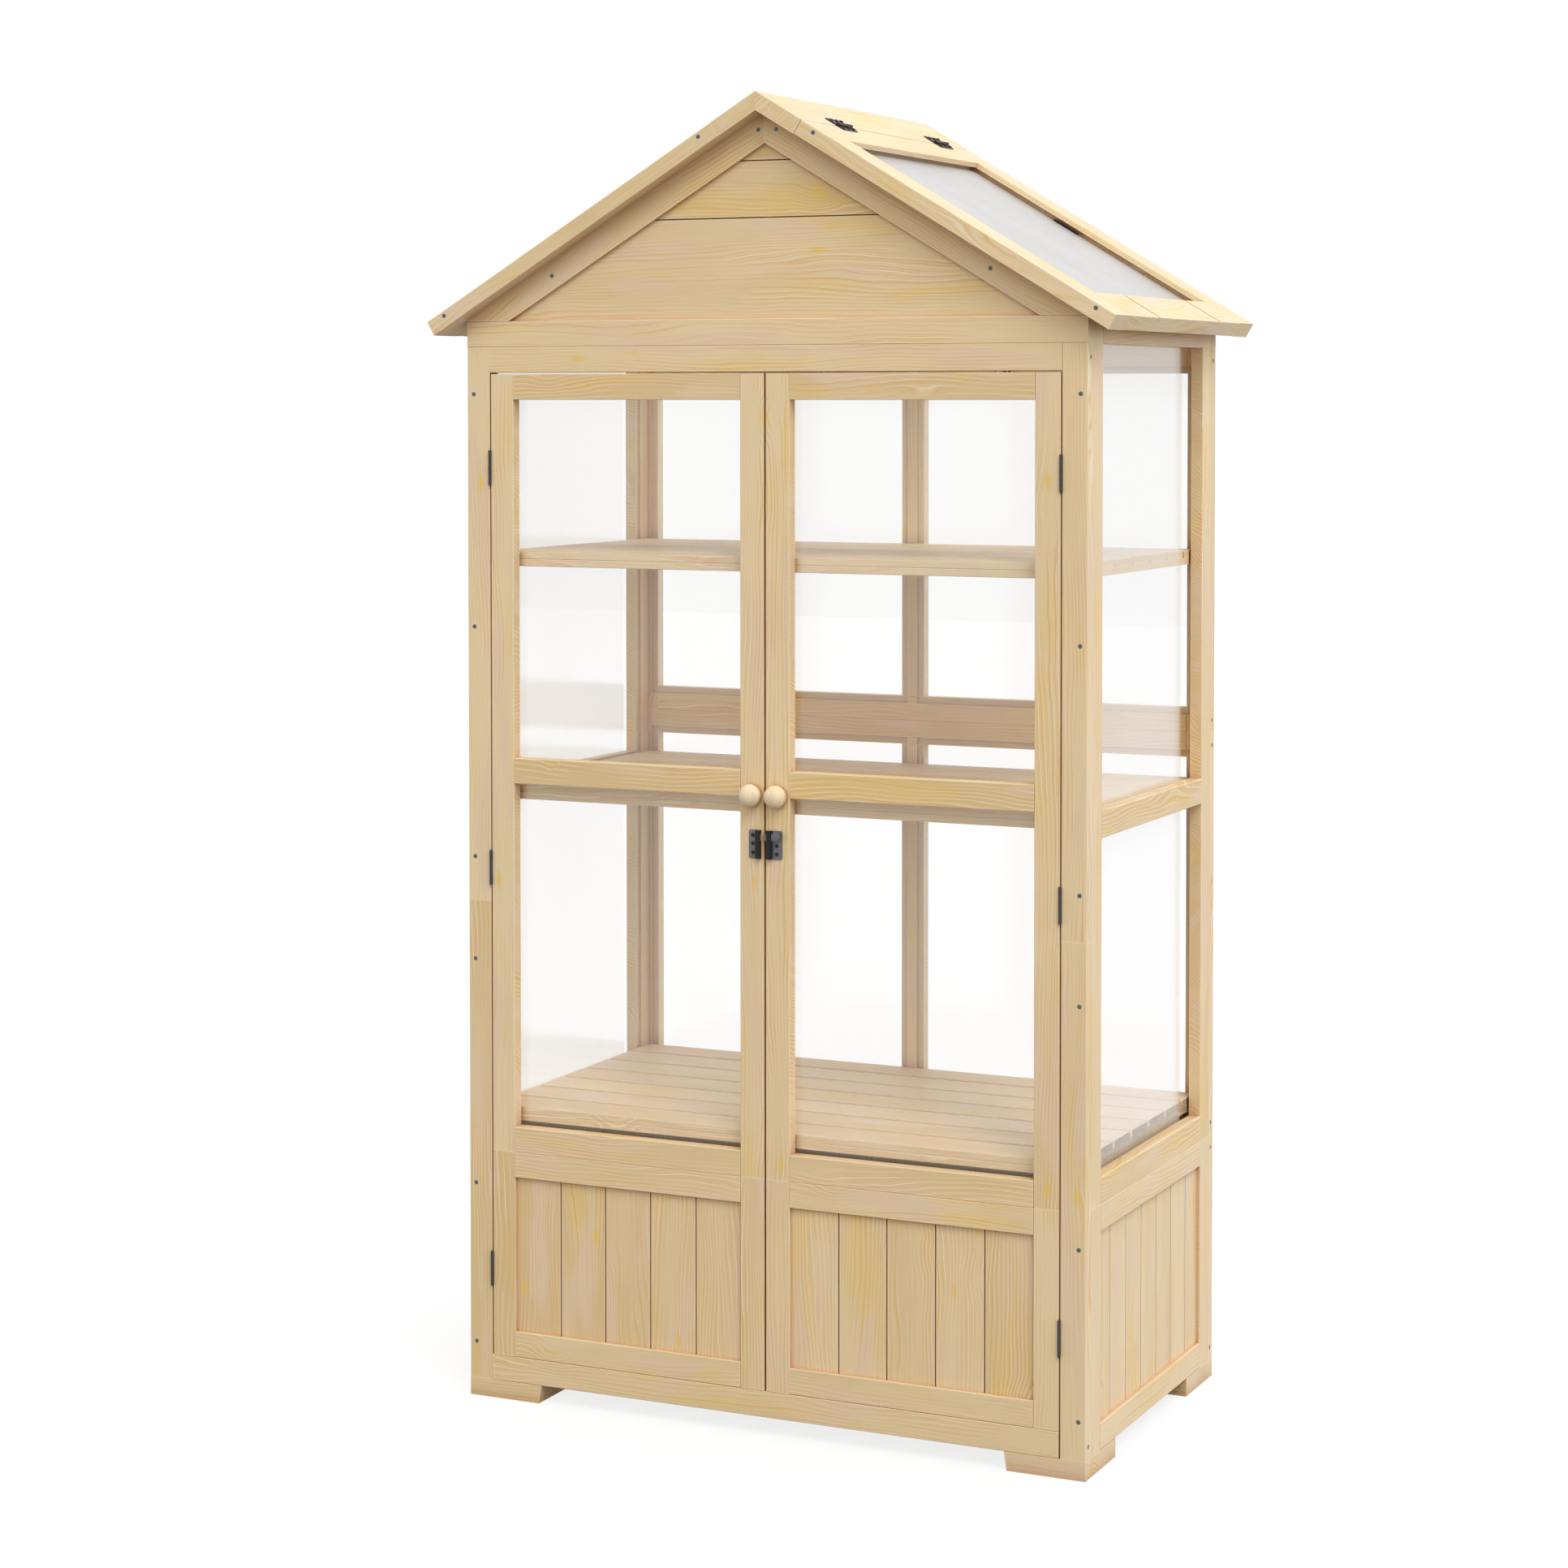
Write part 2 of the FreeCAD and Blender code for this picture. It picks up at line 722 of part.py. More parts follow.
def knob(x):
    """A turned knob: a waisted neck, a rounded underside and an elliptical dome."""
    profile = [(knob_neck_radius, 0), (knob_waist_radius, knob_neck_length / 2)]
    for step in range(knob_bands):
        angle = math.pi / 2 * step / knob_bands
        flare = (knob_radius - knob_neck_radius) * math.sin(angle)
        drop = (knob_widest - knob_neck_length) * math.cos(angle)
        profile.append((knob_neck_radius + flare, knob_widest - drop))
    for step in range(knob_bands):
        angle = math.pi / 2 * step / knob_bands
        rise = (knob_length - knob_widest) * math.sin(angle)
        profile.append((knob_radius * math.cos(angle), knob_widest + rise))
    profile.append((knob_flat_radius, knob_length))
    return turned([(vec(x, front_y - out, knob_level), radius) for radius, out in profile], knob_sides)


def doors():
    near = meeting_gap / 2
    far = near + door_width
    door("left", front_wall, -far, -near)
    door("right", front_wall, near, far)
    keep("left_door_knob", [knob(-knob_x)])
    keep("right_door_knob", [knob(knob_x)])


# Latch

def latch_plate(flat_start, flat_end, rib_start, rib_end):
    """A sheet plate with a hollow raised rib down one edge, open below and above."""
    low, high = latch_level - latch_height / 2, latch_level + latch_height / 2
    flat = box(flat_start, flat_end, front_y - latch_sheet, front_y, low, high)
    corners = [edge for edge in flat.Edges if abs(edge.CenterOfMass.x - flat_end) < 0.01]
    rounded = [edge for edge in corners if edge.Length < latch_sheet + 0.01]
    flat = flat.makeChamfer(latch_corner, rounded)
    rib = box(rib_start, rib_end, front_y - rib_out, front_y, low, high)
    rib = eased(rib, vec(0, 0, 1), rib_ease)
    inner_start, inner_end = rib_start + latch_sheet, rib_end - latch_sheet
    hollow = box(inner_start, inner_end, front_y - rib_out + latch_sheet, front_y, low, high)
    return flat.fuse(rib).removeSplitter().cut(hollow)


def latch():
    back = front_y - latch_sheet
    slot_back = back - bolt_fit
    slot_front = slot_back - bolt_thick
    low, high = bolt_level - bolt_height / 2, bolt_level + bolt_height / 2
    low_edge, high_edge = low - bolt_fit, high + bolt_fit
    channel = box(-latch_right, latch_right, back, slot_front - bolt_fit, low_edge, high_edge)
    body_rib, keeper_rib = latch_left + rib_width, keeper_right - rib_width
    body = latch_plate(body_rib - latch_sheet, latch_right, latch_left, body_rib)
    keeper = latch_plate(keeper_rib + latch_sheet, keeper_left, keeper_rib, keeper_right)
    bolt = box(bolt_nose, bolt_tail, slot_back, slot_front, low, high)
    keep("latch_bolt", [bolt.fuse(bolt_grip(slot_front)).removeSplitter()])
    body_screws = plate_screws(latch_right - body_screw_inset, back, body_screw_steps)
    keep("latch_body", [body.cut(channel)] + body_screws)
    keeper_screws = plate_screws(keeper_left + keeper_screw_inset, back, keeper_screw_steps)
    keep("latch_keeper", [keeper.cut(channel)] + keeper_screws)


def plate_screws(x, back, steps):
    return [small_head(vec(x, back, latch_level + step), vec(0, -1, 0)) for step in steps]


def bolt_grip(bolt_front):
    """A short neck and an eight-sided knob, narrower at both ends."""
    neck_end = bolt_front - bolt_neck_length
    grip_end = bolt_front - bolt_knob_out
    stations = [(bolt_front, bolt_neck_radius), (neck_end, bolt_neck_radius)]
    neck = [(vec(bolt_knob_x, y, bolt_knob_level), radius) for y, radius in stations]
    stations = [(neck_end, bolt_knob_end_radius), ((neck_end + grip_end) / 2, bolt_knob_radius)]
    stations.append((grip_end, bolt_knob_end_radius))
    grip = [(vec(bolt_knob_x, y, bolt_knob_level), radius) for y, radius in stations]
    return [turned(neck, bolt_knob_sides), turned(grip, bolt_knob_sides)]


# Roof stay

def stay():
    inner = roof_half_depth - roof_side_rail
    low = inner - stay_sheet
    plate = slope_box(stay_plate_start, stay_plate_end, low, inner, stay_plate_top, stay_plate_bottom)
    half = stay_tab_width / 2
    tab = slope_box(stay_pivot_u - half, stay_pivot_u + half, low, inner, stay_plate_bottom, stay_pivot_depth)
    hub_back = vec(stay_pivot_u, inner, -stay_pivot_depth)
    hub_front = vec(stay_pivot_u, low, -stay_pivot_depth)
    hub = faceted(hub_front, hub_back, half, half, stay_sides)
    arm_back = low - bolt_fit
    arm_front = arm_back - stay_arm_thick
    pin_end = vec(stay_pivot_u, arm_front - stay_pin_end, -stay_pivot_depth)
    pin = rod(pin_end, hub_front, stay_pin_radius)
    rivet_start = vec(stay_pivot_u, low, -stay_rivet_depth)
    rivet_end = rivet_start - vec(0, stay_rivet_length, 0)
    rivet = faceted(rivet_start, rivet_end, stay_rivet_radius, stay_rivet_radius, head_sides)
    bracket = plate.fuse([tab, hub, pin]).removeSplitter()
    keep("stay_bracket", [onto_slope(bracket), onto_slope(rivet)])
    keep("stay_arm", [stay_arm(arm_front, arm_back)])


def stay_arm(front, back):
    """A slotted flat bar that hangs from the bracket's pin, with a round washer at the pin."""
    pivot = slope_point(stay_pivot_u, 0, stay_pivot_depth)
    half = stay_arm_width / 2
    end = half - stay_arm_length
    blade = box(-half, half, front, back, end, 0)
    foot = faceted(vec(0, front, end), vec(0, back, end), half, half, stay_sides)
    head_front, head_back = vec(0, front, 0), vec(0, back, 0)
    head = faceted(head_front, head_back, stay_washer_radius, stay_washer_radius, stay_sides)
    slot_half = stay_slot_width / 2
    slot = box(-slot_half, slot_half, front, back, end + half, -2 * stay_washer_radius)
    hole = barrel_space(head_front, head_back, stay_pin_radius, stay_sides)
    arm = blade.fuse([foot, head]).removeSplitter().cut(slot).cut(hole)
    arm.rotate(vec(0, 0, 0), vec(0, 1, 0), stay_arm_tilt)
    arm.translate(vec(pivot.x, 0, pivot.z))
    return arm


# Screws: countersunk, flush with the timber, each in a hole of its own shape

def screw(head_face, inward, length):
    """A countersunk head, flush with the timber, on a plain shank."""
    tip = head_face + inward * length
    neck = head_face + inward * screw_head_depth
    head = faceted(head_face, neck, screw_head_radius, screw_shank_radius, screw_sides)
    shank = faceted(neck, tip, screw_shank_radius, screw_shank_radius, screw_sides)
    return head.fuse(shank).removeSplitter()


def cabinet_screws():
    screws = []
    centre = timber / 2
    post_levels = [foot_height + foot_screw_rise, waist - waist_screw_drop, post_split - split_screw_drop]
    post_levels += [post_split + split_screw_rise, cabinet_top - middle_screw_drop]
    post_levels.append(cabinet_top - top_screw_drop)
    for side in (-1, 1):
        for level in post_levels:
            x = side * (half_width - centre)
            screws.append(screw(vec(x, front_y, level), vec(0, 1, 0), post_screw_length))
            screws.append(screw(vec(x, back_y, level), vec(0, -1, 0), post_screw_length))
        levels = [cabinet_top - rail / 2, foot_height + rail / 2]
        for level in levels:
            head = vec(side * half_width, front_y + centre, level)
            screws.append(screw(head, vec(-side, 0, 0), joint_screw_length))
        levels += [back_mid_split + rail / 2, back_mid_split - rail / 2, waist + rail / 2, waist - rail / 2]
        for level in levels:
            head = vec(side * half_width, back_y - centre, level)
            screws.append(screw(head, vec(-side, 0, 0), joint_screw_length))
    return screws


def gable_screws():
    """Two screws at the top of each gable and one low on each rafter."""
    places = [(x, overall_height - apex_screw_drop) for x in apex_screw_places]
    rafter_x = half_width - rafter_screw_inset
    rafter_level = roof_z(rafter_x, roof_thick + rail / 2)
    places += [(-rafter_x, rafter_level), (rafter_x, rafter_level)]
    screws = []
    for face_y, way in ((front_y, 1), (back_y, -1)):
        for x, level in places:
            screws.append(screw(vec(x, face_y, level), vec(0, way, 0), gable_screw_length))
    return screws


def roof_screws():
    """Screws through the roof's side rails into the rails between them, for the right slope."""
    screws = []
    for u in (ridge_board_width + roof_top_screw, slope_length - roof_end_screw):
        for side in (-1, 1):
            head = vec(u, side * roof_half_depth, -roof_screw_depth)
            screws.append(onto_slope(screw(head, vec(0, -side, 0), roof_screw_length)))
    return screws


def studs():
    """Two pairs of small dark pins in the underside of the top rail, over the right door."""
    centre = meeting_gap / 2 + door_width / 2
    level = cabinet_top - rail
    pins = []
    for side in (-1, 1):
        for step in (-0.5, 0.5):
            x = centre + side * stud_offset + step * stud_spacing
            spot = vec(x, front_y + stud_setback, level)
            pins.append(faceted(spot - vec(0, 0, stud_out), spot, stud_radius, stud_radius, head_sides))
    keep("top_gap_studs", pins)


def set_screws(name, screws):
    """Drills every node that a screw passes through, then keeps the screws."""
    for shape_name in list(made):
        shapes = made[shape_name]
        for index, shape in enumerate(shapes):
            near = [item for item in screws if item.BoundBox.intersect(shape.BoundBox)]
            if near:
                shapes[index] = shape.cut(Part.makeCompound(near))
    keep(name, screws)


def fasteners():
    left_roof = [mirrored(item) for item in roof_screws()]
    set_screws("frame_screws", cabinet_screws() + gable_screws() + left_roof)
    set_screws("flap_screws", roof_screws())
    studs()


def save():
    os.makedirs("parts", exist_ok=True)
    for name, shapes in made.items():
        solids = []
        for shape in shapes:
            solids.extend(shape.Solids)
        whole = solids[0] if len(solids) == 1 else Part.makeCompound(solids)
        whole.exportStep("parts/" + name + ".step")
        print(name, len(solids), "solids, valid", whole.isValid(), "volume", round(whole.Volume))


side_walls()
back_side()
front_frame()
feet()
gables()
shelves()
roof()
doors()
fasteners()
roof_hinges()
door_hinges()
latch()
stay()
save()
print("nodes", len(made))
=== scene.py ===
import math

import bmesh
import bpy
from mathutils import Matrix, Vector


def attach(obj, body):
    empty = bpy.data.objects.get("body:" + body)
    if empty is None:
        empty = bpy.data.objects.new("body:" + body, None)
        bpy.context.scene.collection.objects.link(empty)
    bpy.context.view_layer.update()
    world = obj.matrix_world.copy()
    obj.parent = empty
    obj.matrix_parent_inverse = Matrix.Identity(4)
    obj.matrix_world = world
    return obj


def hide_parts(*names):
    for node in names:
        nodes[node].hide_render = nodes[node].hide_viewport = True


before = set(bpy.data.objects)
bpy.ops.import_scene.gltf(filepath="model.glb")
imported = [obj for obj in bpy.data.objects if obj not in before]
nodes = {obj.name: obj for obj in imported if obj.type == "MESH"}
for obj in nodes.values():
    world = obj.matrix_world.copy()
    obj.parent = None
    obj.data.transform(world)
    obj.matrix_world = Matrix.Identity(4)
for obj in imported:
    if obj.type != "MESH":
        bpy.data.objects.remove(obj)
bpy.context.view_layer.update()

mm = 0.001
bpy.ops.object.select_all(action="DESELECT")
print("frame loaded:", len(nodes), "nodes")


# helpers for shader nodes

def addNode(tree, kind, **settings):
    node = tree.nodes.new(kind)
    for name, value in settings.items():
        setattr(node, name, value)
    return node


def feed(tree, socket, value):
    # a value is either another node's output or a plain number or colour
    if isinstance(value, bpy.types.NodeSocket):
        tree.links.new(value, socket)
    else:
        socket.default_value = value


def feedByName(tree, node, values):
    for name, value in values.items():
        feed(tree, node.inputs[name], value)


def calc(tree, operation, first, second=0.0, third=0.0):
    node = addNode(tree, "ShaderNodeMath", operation=operation)
    for socket, value in zip(node.inputs, (first, second, third)):
        feed(tree, socket, value)
    return node.outputs[0]


def times(tree, first, second):
    return calc(tree, "MULTIPLY", first, second)


def timesPlus(tree, first, second, third):
    return calc(tree, "MULTIPLY_ADD", first, second, third)


def above(tree, value, limit):
    return calc(tree, "GREATER_THAN", value, limit)


def within(tree, value, low, high):
    # 1 where value lies between low and high
    return calc(tree, "COMPARE", value, (low + high) / 2, (high - low) / 2)


def sizeOf(tree, value):
    return calc(tree, "ABSOLUTE", value)


def splitUp(tree, vector):
    node = addNode(tree, "ShaderNodeSeparateXYZ")
    feed(tree, node.inputs[0], vector)
    return node.outputs


def combine(tree, x, y, z):
    node = addNode(tree, "ShaderNodeCombineXYZ")
    for socket, value in zip(node.inputs, (x, y, z)):
        feed(tree, socket, value)
    return node.outputs[0]


def blendVectors(tree, factor, first, second):
    node = addNode(tree, "ShaderNodeMix", data_type="VECTOR")
    feed(tree, node.inputs[0], factor)
    feed(tree, node.inputs[4], first)
    feed(tree, node.inputs[5], second)
    return node.outputs[1]


def blendColours(tree, factor, first, second, mode="MIX"):
    node = addNode(tree, "ShaderNodeMix", data_type="RGBA", blend_type=mode)
    feed(tree, node.inputs[0], factor)
    feed(tree, node.inputs[6], first)
    feed(tree, node.inputs[7], second)
    return node.outputs[2]


def spread(tree, value, low, high, newLow=0.0, newHigh=1.0):
    node = addNode(tree, "ShaderNodeMapRange", interpolation_type="SMOOTHSTEP")
    feed(tree, node.inputs[0], value)
    for socket, number in zip(list(node.inputs)[1:5], (low, high, newLow, newHigh)):
        socket.default_value = number
    return node.outputs[0]


def noise(tree, vector, scale, detail=2.0, roughness=0.5):
    node = addNode(tree, "ShaderNodeTexNoise")
    values = {"Vector": vector, "Scale": scale, "Detail": detail, "Roughness": roughness}
    feedByName(tree, node, values)
    return node.outputs[0]


def stretched(tree, vector, along, across):
    node = addNode(tree, "ShaderNodeVectorMath", operation="MULTIPLY")
    feed(tree, node.inputs[0], vector)
    node.inputs[1].default_value = (along, across, across)
    return node.outputs[0]


def cellsOf(tree, parts, perMetre):
    # distance from the middle of each cell, and the parts of the cell's random colour
    place = combine(tree, *(times(tree, part, count) for part, count in zip(parts, perMetre)))
    cells = addNode(tree, "ShaderNodeTexVoronoi", feature="F1")
    feedByName(tree, cells, {"Vector": place, "Scale": 1.0})
    pick = addNode(tree, "ShaderNodeSeparateColor")
    feed(tree, pick.inputs[0], cells.outputs["Color"])
    return cells.outputs["Distance"], pick.outputs


def addBump(tree, shader, height, strength, distance):
    bump = addNode(tree, "ShaderNodeBump")
    feedByName(tree, bump, {"Strength": strength, "Distance": distance, "Height": height})
    feed(tree, shader.inputs["Normal"], bump.outputs["Normal"])


def colour(red, green, blue):
    # screen values 0 to 255 to linear light
    shares = [screen / 255 for screen in (red, green, blue)]
    linear = [((s + 0.055) / 1.055) ** 2.4 if s > 0.04045 else s / 12.92 for s in shares]
    return (*linear, 1.0)


def openGroup(name, inputs, outputs):
    group = bpy.data.node_groups.new(name, "ShaderNodeTree")
    for way, sockets in (("INPUT", inputs), ("OUTPUT", outputs)):
        for socket, kind in sockets:
            group.interface.new_socket(socket, in_out=way, socket_type="NodeSocket" + kind)
    given = addNode(group, "NodeGroupInput").outputs
    result = addNode(group, "NodeGroupOutput").inputs
    return group, given, result


# fir: one grain group, fed with a place along, across and into each member

fir = {
    "pale": colour(243, 222, 186),
    "deep": colour(229, 203, 160),
    "streak": colour(228, 176, 92),
    "blush": colour(238, 214, 189),
    "knot": colour(158, 100, 48),
    "fleck": colour(244, 206, 92),
    "light": colour(252, 239, 217),
    # gap: the colour of the painted shade in gaps, recesses and corners
    "gap": colour(178, 108, 48),
    # worn and highlight: on the fir, a painted highlight on the arrises
    "worn and highlight": colour(250, 232, 200),
    "streakAmount": 0.80,
    "knotAmount": 0.80,
    "linesPerMetre": 172.0,
    "gapReach": 28 * mm,
    "edgeReach": 2.2 * mm,
    "bumpStrength": 0.25,
    "bumpHeight": 0.4 * mm,
    "shine": 0.2,
}
knobWood = {
    **fir,
    "pale": colour(252, 234, 208),
    "deep": colour(243, 218, 184),
    "streak": colour(232, 196, 140),
    "streakAmount": 0.5,
}

grain = {
    # noises: stretch along and across a member, scale, detail, roughness
    "bend": ((3.2, 15.0), 1.0, 1.6, 0.45),
    "waver": ((14.0, 40.0), 1.0, 2.0),
    "parts": ((4.2, 17.0), 1.0, 2.5, 0.6),
    "otherParts": ((2.6, 11.0), 1.7, 2.0),
    "pores": ((26.0, 1100.0), 1.0, 2.0, 0.6),
    "patch": ((2.4, 12.0), 1.0, 3.0, 0.6),
    "warmth": ((3.4, 17.0), 1.7, 1.5),
    "member": ((0.22, 0.34), 1.3, 0.0),
    # cells per metre along, across and into a member, and the share of them that stays plain
    "knotCells": (7.0, 9.0, 0.6),
    "knotless": 0.66,
    "fleckCells": (11.0, 34.0, 0.6),
    "fleckless": 0.76,
    # what moves the growth lines, counted in lines
    "tilt": 0.5,
    "bendShift": 9.0,
    "waverShift": 0.9,
    "swellShift": 2.6,
    # where each line starts and stops within one growth year
    "lateRise": (0.64, 0.95),
    "lateFall": (1.0, 0.95),
    "earlyMiddle": 0.3,
    "earlyWidth": (0.22, 0.0),
    "fineRate": 2.73,
    "fineMiddle": 0.5,
    "fineWidth": (0.30, 0.02),
    # thresholds of the noises and of the distances from a cell's middle
    "partly": (0.40, 0.62),
    "otherwise": (0.44, 0.62),
    "poreRange": (0.35, 0.75),
    "toneRange": (0.24, 0.80),
    "goldenRange": (0.52, 0.70),
    "blushRange": (0.52, 0.66),
    "swell": (0.34, 0.0),
    "fleckDot": (0.20, 0.06),
    "halo": (0.15, 0.03),
    "core": (0.042, 0.018),
    "darkKnots": 0.45,
    # how strongly each of them shows: span and least value where there are two
    "ringStrength": (0.85, 0.15),
    "lineStrength": (0.82, 0.18),
    "fineStrength": 0.62,
    "memberTone": 0.9,
    "patchMiddle": 0.45,
    "goldenAmount": 0.30,
    "blushAmount": 0.85,
    "earlyAmount": 0.75,
    "poreAmount": 0.16,
    "fleckAmount": 0.65,
    "haloAmount": 0.42,
    "roughness": (0.10, 0.44),
    "lineRoughness": 0.06,
    "poreDepth": -0.35,
    "lineDepth": 0.4,
}


def makeFirGroup():
    toneNames = ("Pale", "Deep", "Streak", "Light", "Blush", "Knot", "Fleck")
    amountNames = ("Streak Amount", "Knot Amount", "Lines")
    inputs = [("Place", "Vector")]
    inputs += [(name, "Color") for name in toneNames] + [(name, "Float") for name in amountNames]
    outputs = [("Color", "Color"), ("Roughness", "Float"), ("Height", "Float")]
    group, given, result = openGroup("firGrain", inputs, outputs)
    place = given["Place"]
    parts = splitUp(group, place)

    def grainNoise(key):
        stretch, *settings = grain[key]
        return noise(group, stretched(group, place, *stretch), *settings)

    def smooth(value, key):
        return spread(group, value, *grain[key])

    def lay(tone, amount, name):
        return blendColours(group, amount, tone, given[name])

    # knots go right through a board, so their cells hardly change with depth
    away, pick = cellsOf(group, parts, grain["knotCells"])
    chosen = above(group, pick[0], grain["knotless"])
    swell = times(group, smooth(away, "swell"), chosen)

    # growth lines: straight along the board, and closed into long loops where the field bends them
    tilted = timesPlus(group, parts[2], grain["tilt"], parts[1])
    field = times(group, tilted, given["Lines"])
    field = timesPlus(group, grainNoise("bend"), grain["bendShift"], field)
    field = timesPlus(group, grainNoise("waver"), grain["waverShift"], field)
    field = timesPlus(group, swell, grain["swellShift"], field)
    phase = calc(group, "FRACT", field)
    late = times(group, smooth(phase, "lateRise"), smooth(phase, "lateFall"))
    # each growth line has a strength of its own
    ring = addNode(group, "ShaderNodeTexWhiteNoise", noise_dimensions="1D")
    feed(group, ring.inputs["W"], calc(group, "FLOOR", field))
    late = times(group, late, timesPlus(group, ring.outputs["Value"], *grain["ringStrength"]))
    finePhase = calc(group, "FRACT", times(group, field, grain["fineRate"]))
    fromFine = sizeOf(group, calc(group, "SUBTRACT", finePhase, grain["fineMiddle"]))
    fineLine = smooth(fromFine, "fineWidth")
    somewhere = grainNoise("parts")
    otherwise = smooth(grainNoise("otherParts"), "otherwise")
    strength = timesPlus(group, smooth(somewhere, "partly"), *grain["lineStrength"])
    fineLine = times(group, times(group, fineLine, otherwise), grain["fineStrength"])
    line = calc(group, "MAXIMUM", times(group, late, strength), fineLine)
    streak = times(group, line, given["Streak Amount"])

    # slow patches of tone, a tone for each member, early wood and pores
    patch = calc(group, "SUBTRACT", grainNoise("patch"), grain["patchMiddle"])
    tint = timesPlus(group, grainNoise("member"), grain["memberTone"], patch)
    tone = lay(given["Pale"], smooth(tint, "toneRange"), "Deep")
    golden = times(group, smooth(somewhere, "goldenRange"), grain["goldenAmount"])
    tone = lay(tone, golden, "Fleck")
    blush = times(group, smooth(grainNoise("warmth"), "blushRange"), grain["blushAmount"])
    tone = lay(tone, blush, "Blush")
    fromEarly = sizeOf(group, calc(group, "SUBTRACT", phase, grain["earlyMiddle"]))
    early = times(group, smooth(fromEarly, "earlyWidth"), otherwise)
    tone = lay(tone, times(group, early, grain["earlyAmount"]), "Light")
    tone = lay(tone, streak, "Streak")
    pores = smooth(grainNoise("pores"), "poreRange")
    tone = lay(tone, times(group, pores, grain["poreAmount"]), "Streak")

    # resin flecks, knots and the halo round them
    fromDot, dotPick = cellsOf(group, parts, grain["fleckCells"])
    fleck = times(group, smooth(fromDot, "fleckDot"), above(group, dotPick[0], grain["fleckless"]))
    tone = lay(tone, times(group, fleck, grain["fleckAmount"]), "Fleck")
    halo = times(group, smooth(away, "halo"), chosen)
    tone = lay(tone, times(group, halo, grain["haloAmount"]), "Fleck")
    dark = above(group, pick[1], grain["darkKnots"])
    core = times(group, smooth(away, "core"), times(group, chosen, dark))
    knot = times(group, core, given["Knot Amount"])
    tone = lay(tone, knot, "Knot")

    rough = timesPlus(group, pores, *grain["roughness"])
    height = times(group, pores, grain["poreDepth"])
    height = calc(group, "SUBTRACT", height, times(group, line, grain["lineDepth"]))
    feed(group, result["Color"], tone)
    feed(group, result["Roughness"], timesPlus(group, line, grain["lineRoughness"], rough))
    feed(group, result["Height"], calc(group, "SUBTRACT", height, knot))
    return group


# painted light: shade in corners and deep gaps, and a highlight on arrises, driven by the occlusion
# node
paintedShadeAndHighlight = {
    "arris": (0.92, 0.60),
    "arrisAmount": 0.55,
    "corner": (0.22, 1.0, 0.42, 0.0),
    "deep": (0.40, 0.12),
    "samples": 4,
}


def makePaintedShadeAndHighlightGroup():
    # paints shade into gaps and corners, and a highlight on arrises; Open is 0 deep in a gap and 1
    # in the open; Edge is 1 on a flat and less on an arris
    inputs = [("Tone", "Color"), ("Gap Shade", "Color"), ("Worn and highlight", "Color")]
    inputs += [("Open", "Float"), ("Edge", "Float"), ("Rough", "Float")]
    outputs = [("Color", "Color"), ("Roughness", "Float")]
    group, given, result = openGroup("paintedGapShadeAndArrisHighlight", inputs, outputs)
    # painted highlight: arrises are lightened towards the worn and highlight colour
    arris = times(group, spread(group, given["Edge"], *paintedShadeAndHighlight["arris"]), paintedShadeAndHighlight["arrisAmount"])
    tone = blendColours(group, arris, given["Tone"], given["Worn and highlight"])
    # painted shade: corners are multiplied by the gap colour, and deep gaps take it whole
    corner = spread(group, given["Open"], *paintedShadeAndHighlight["corner"])
    shaded = blendColours(group, 1.0, tone, given["Gap Shade"], "MULTIPLY")
    tone = blendColours(group, corner, tone, shaded)
    deep = spread(group, given["Open"], *paintedShadeAndHighlight["deep"])
    feed(group, result["Roughness"], calc(group, "MAXIMUM", given["Rough"], deep))
    feed(group, result["Color"], blendColours(group, deep, tone, given["Gap Shade"]))
    return group


firGroup = makeFirGroup()
paintedShadeAndHighlightGroup = makePaintedShadeAndHighlightGroup()


# the occlusion node, which drives the painted shade and highlight on the fir and the scuffed edges
# on the steel
def nearness(tree, reach, inside):
    node = addNode(tree, "ShaderNodeAmbientOcclusion", samples=paintedShadeAndHighlight["samples"], inside=inside)
    node.inputs["Distance"].default_value = reach
    return node.outputs["AO"]


def firMaterial(name, makePlace, palette=fir, reach=fir["gapReach"]):
    # makePlace(tree, x, y, z) gives the vector along, across and into the member
    material = bpy.data.materials.new(name)
    material.use_nodes = True
    tree = material.node_tree
    tree.nodes.clear()
    coordinate = addNode(tree, "ShaderNodeTexCoord")
    place = makePlace(tree, *splitUp(tree, coordinate.outputs["Object"]))
    firGrain = addNode(tree, "ShaderNodeGroup", node_tree=firGroup)
    tones = ("pale", "deep", "streak", "light", "blush", "knot", "fleck")
    feedByName(tree, firGrain, {tone.capitalize(): palette[tone] for tone in tones})
    feedByName(tree, firGrain, {
        "Place": place,
        "Streak Amount": palette["streakAmount"],
        "Knot Amount": palette["knotAmount"],
        "Lines": palette["linesPerMetre"],
    })
    # painted shade in gaps and corners, and a painted highlight on the arrises
    edges = addNode(tree, "ShaderNodeGroup", node_tree=paintedShadeAndHighlightGroup)
    feedByName(tree, edges, {
        "Tone": firGrain.outputs["Color"],
        "Gap Shade": palette["gap"],
        "Worn and highlight": palette["worn and highlight"],
        "Open": nearness(tree, reach, False),
        "Edge": nearness(tree, palette["edgeReach"], True),
        "Rough": firGrain.outputs["Roughness"],
    })
    shader = addNode(tree, "ShaderNodeBsdfPrincipled")
    feedByName(tree, shader, {
        "Base Color": edges.outputs["Color"],
        "Roughness": edges.outputs["Roughness"],
        "Specular IOR Level": palette["shine"],
    })
    height = firGrain.outputs["Height"]
    addBump(tree, shader, height, palette["bumpStrength"], palette["bumpHeight"])
    output = addNode(tree, "ShaderNodeOutputMaterial")
    tree.links.new(shader.outputs[0], output.inputs[0])
    return material


# places along, across and into each member, read from the object's coordinates

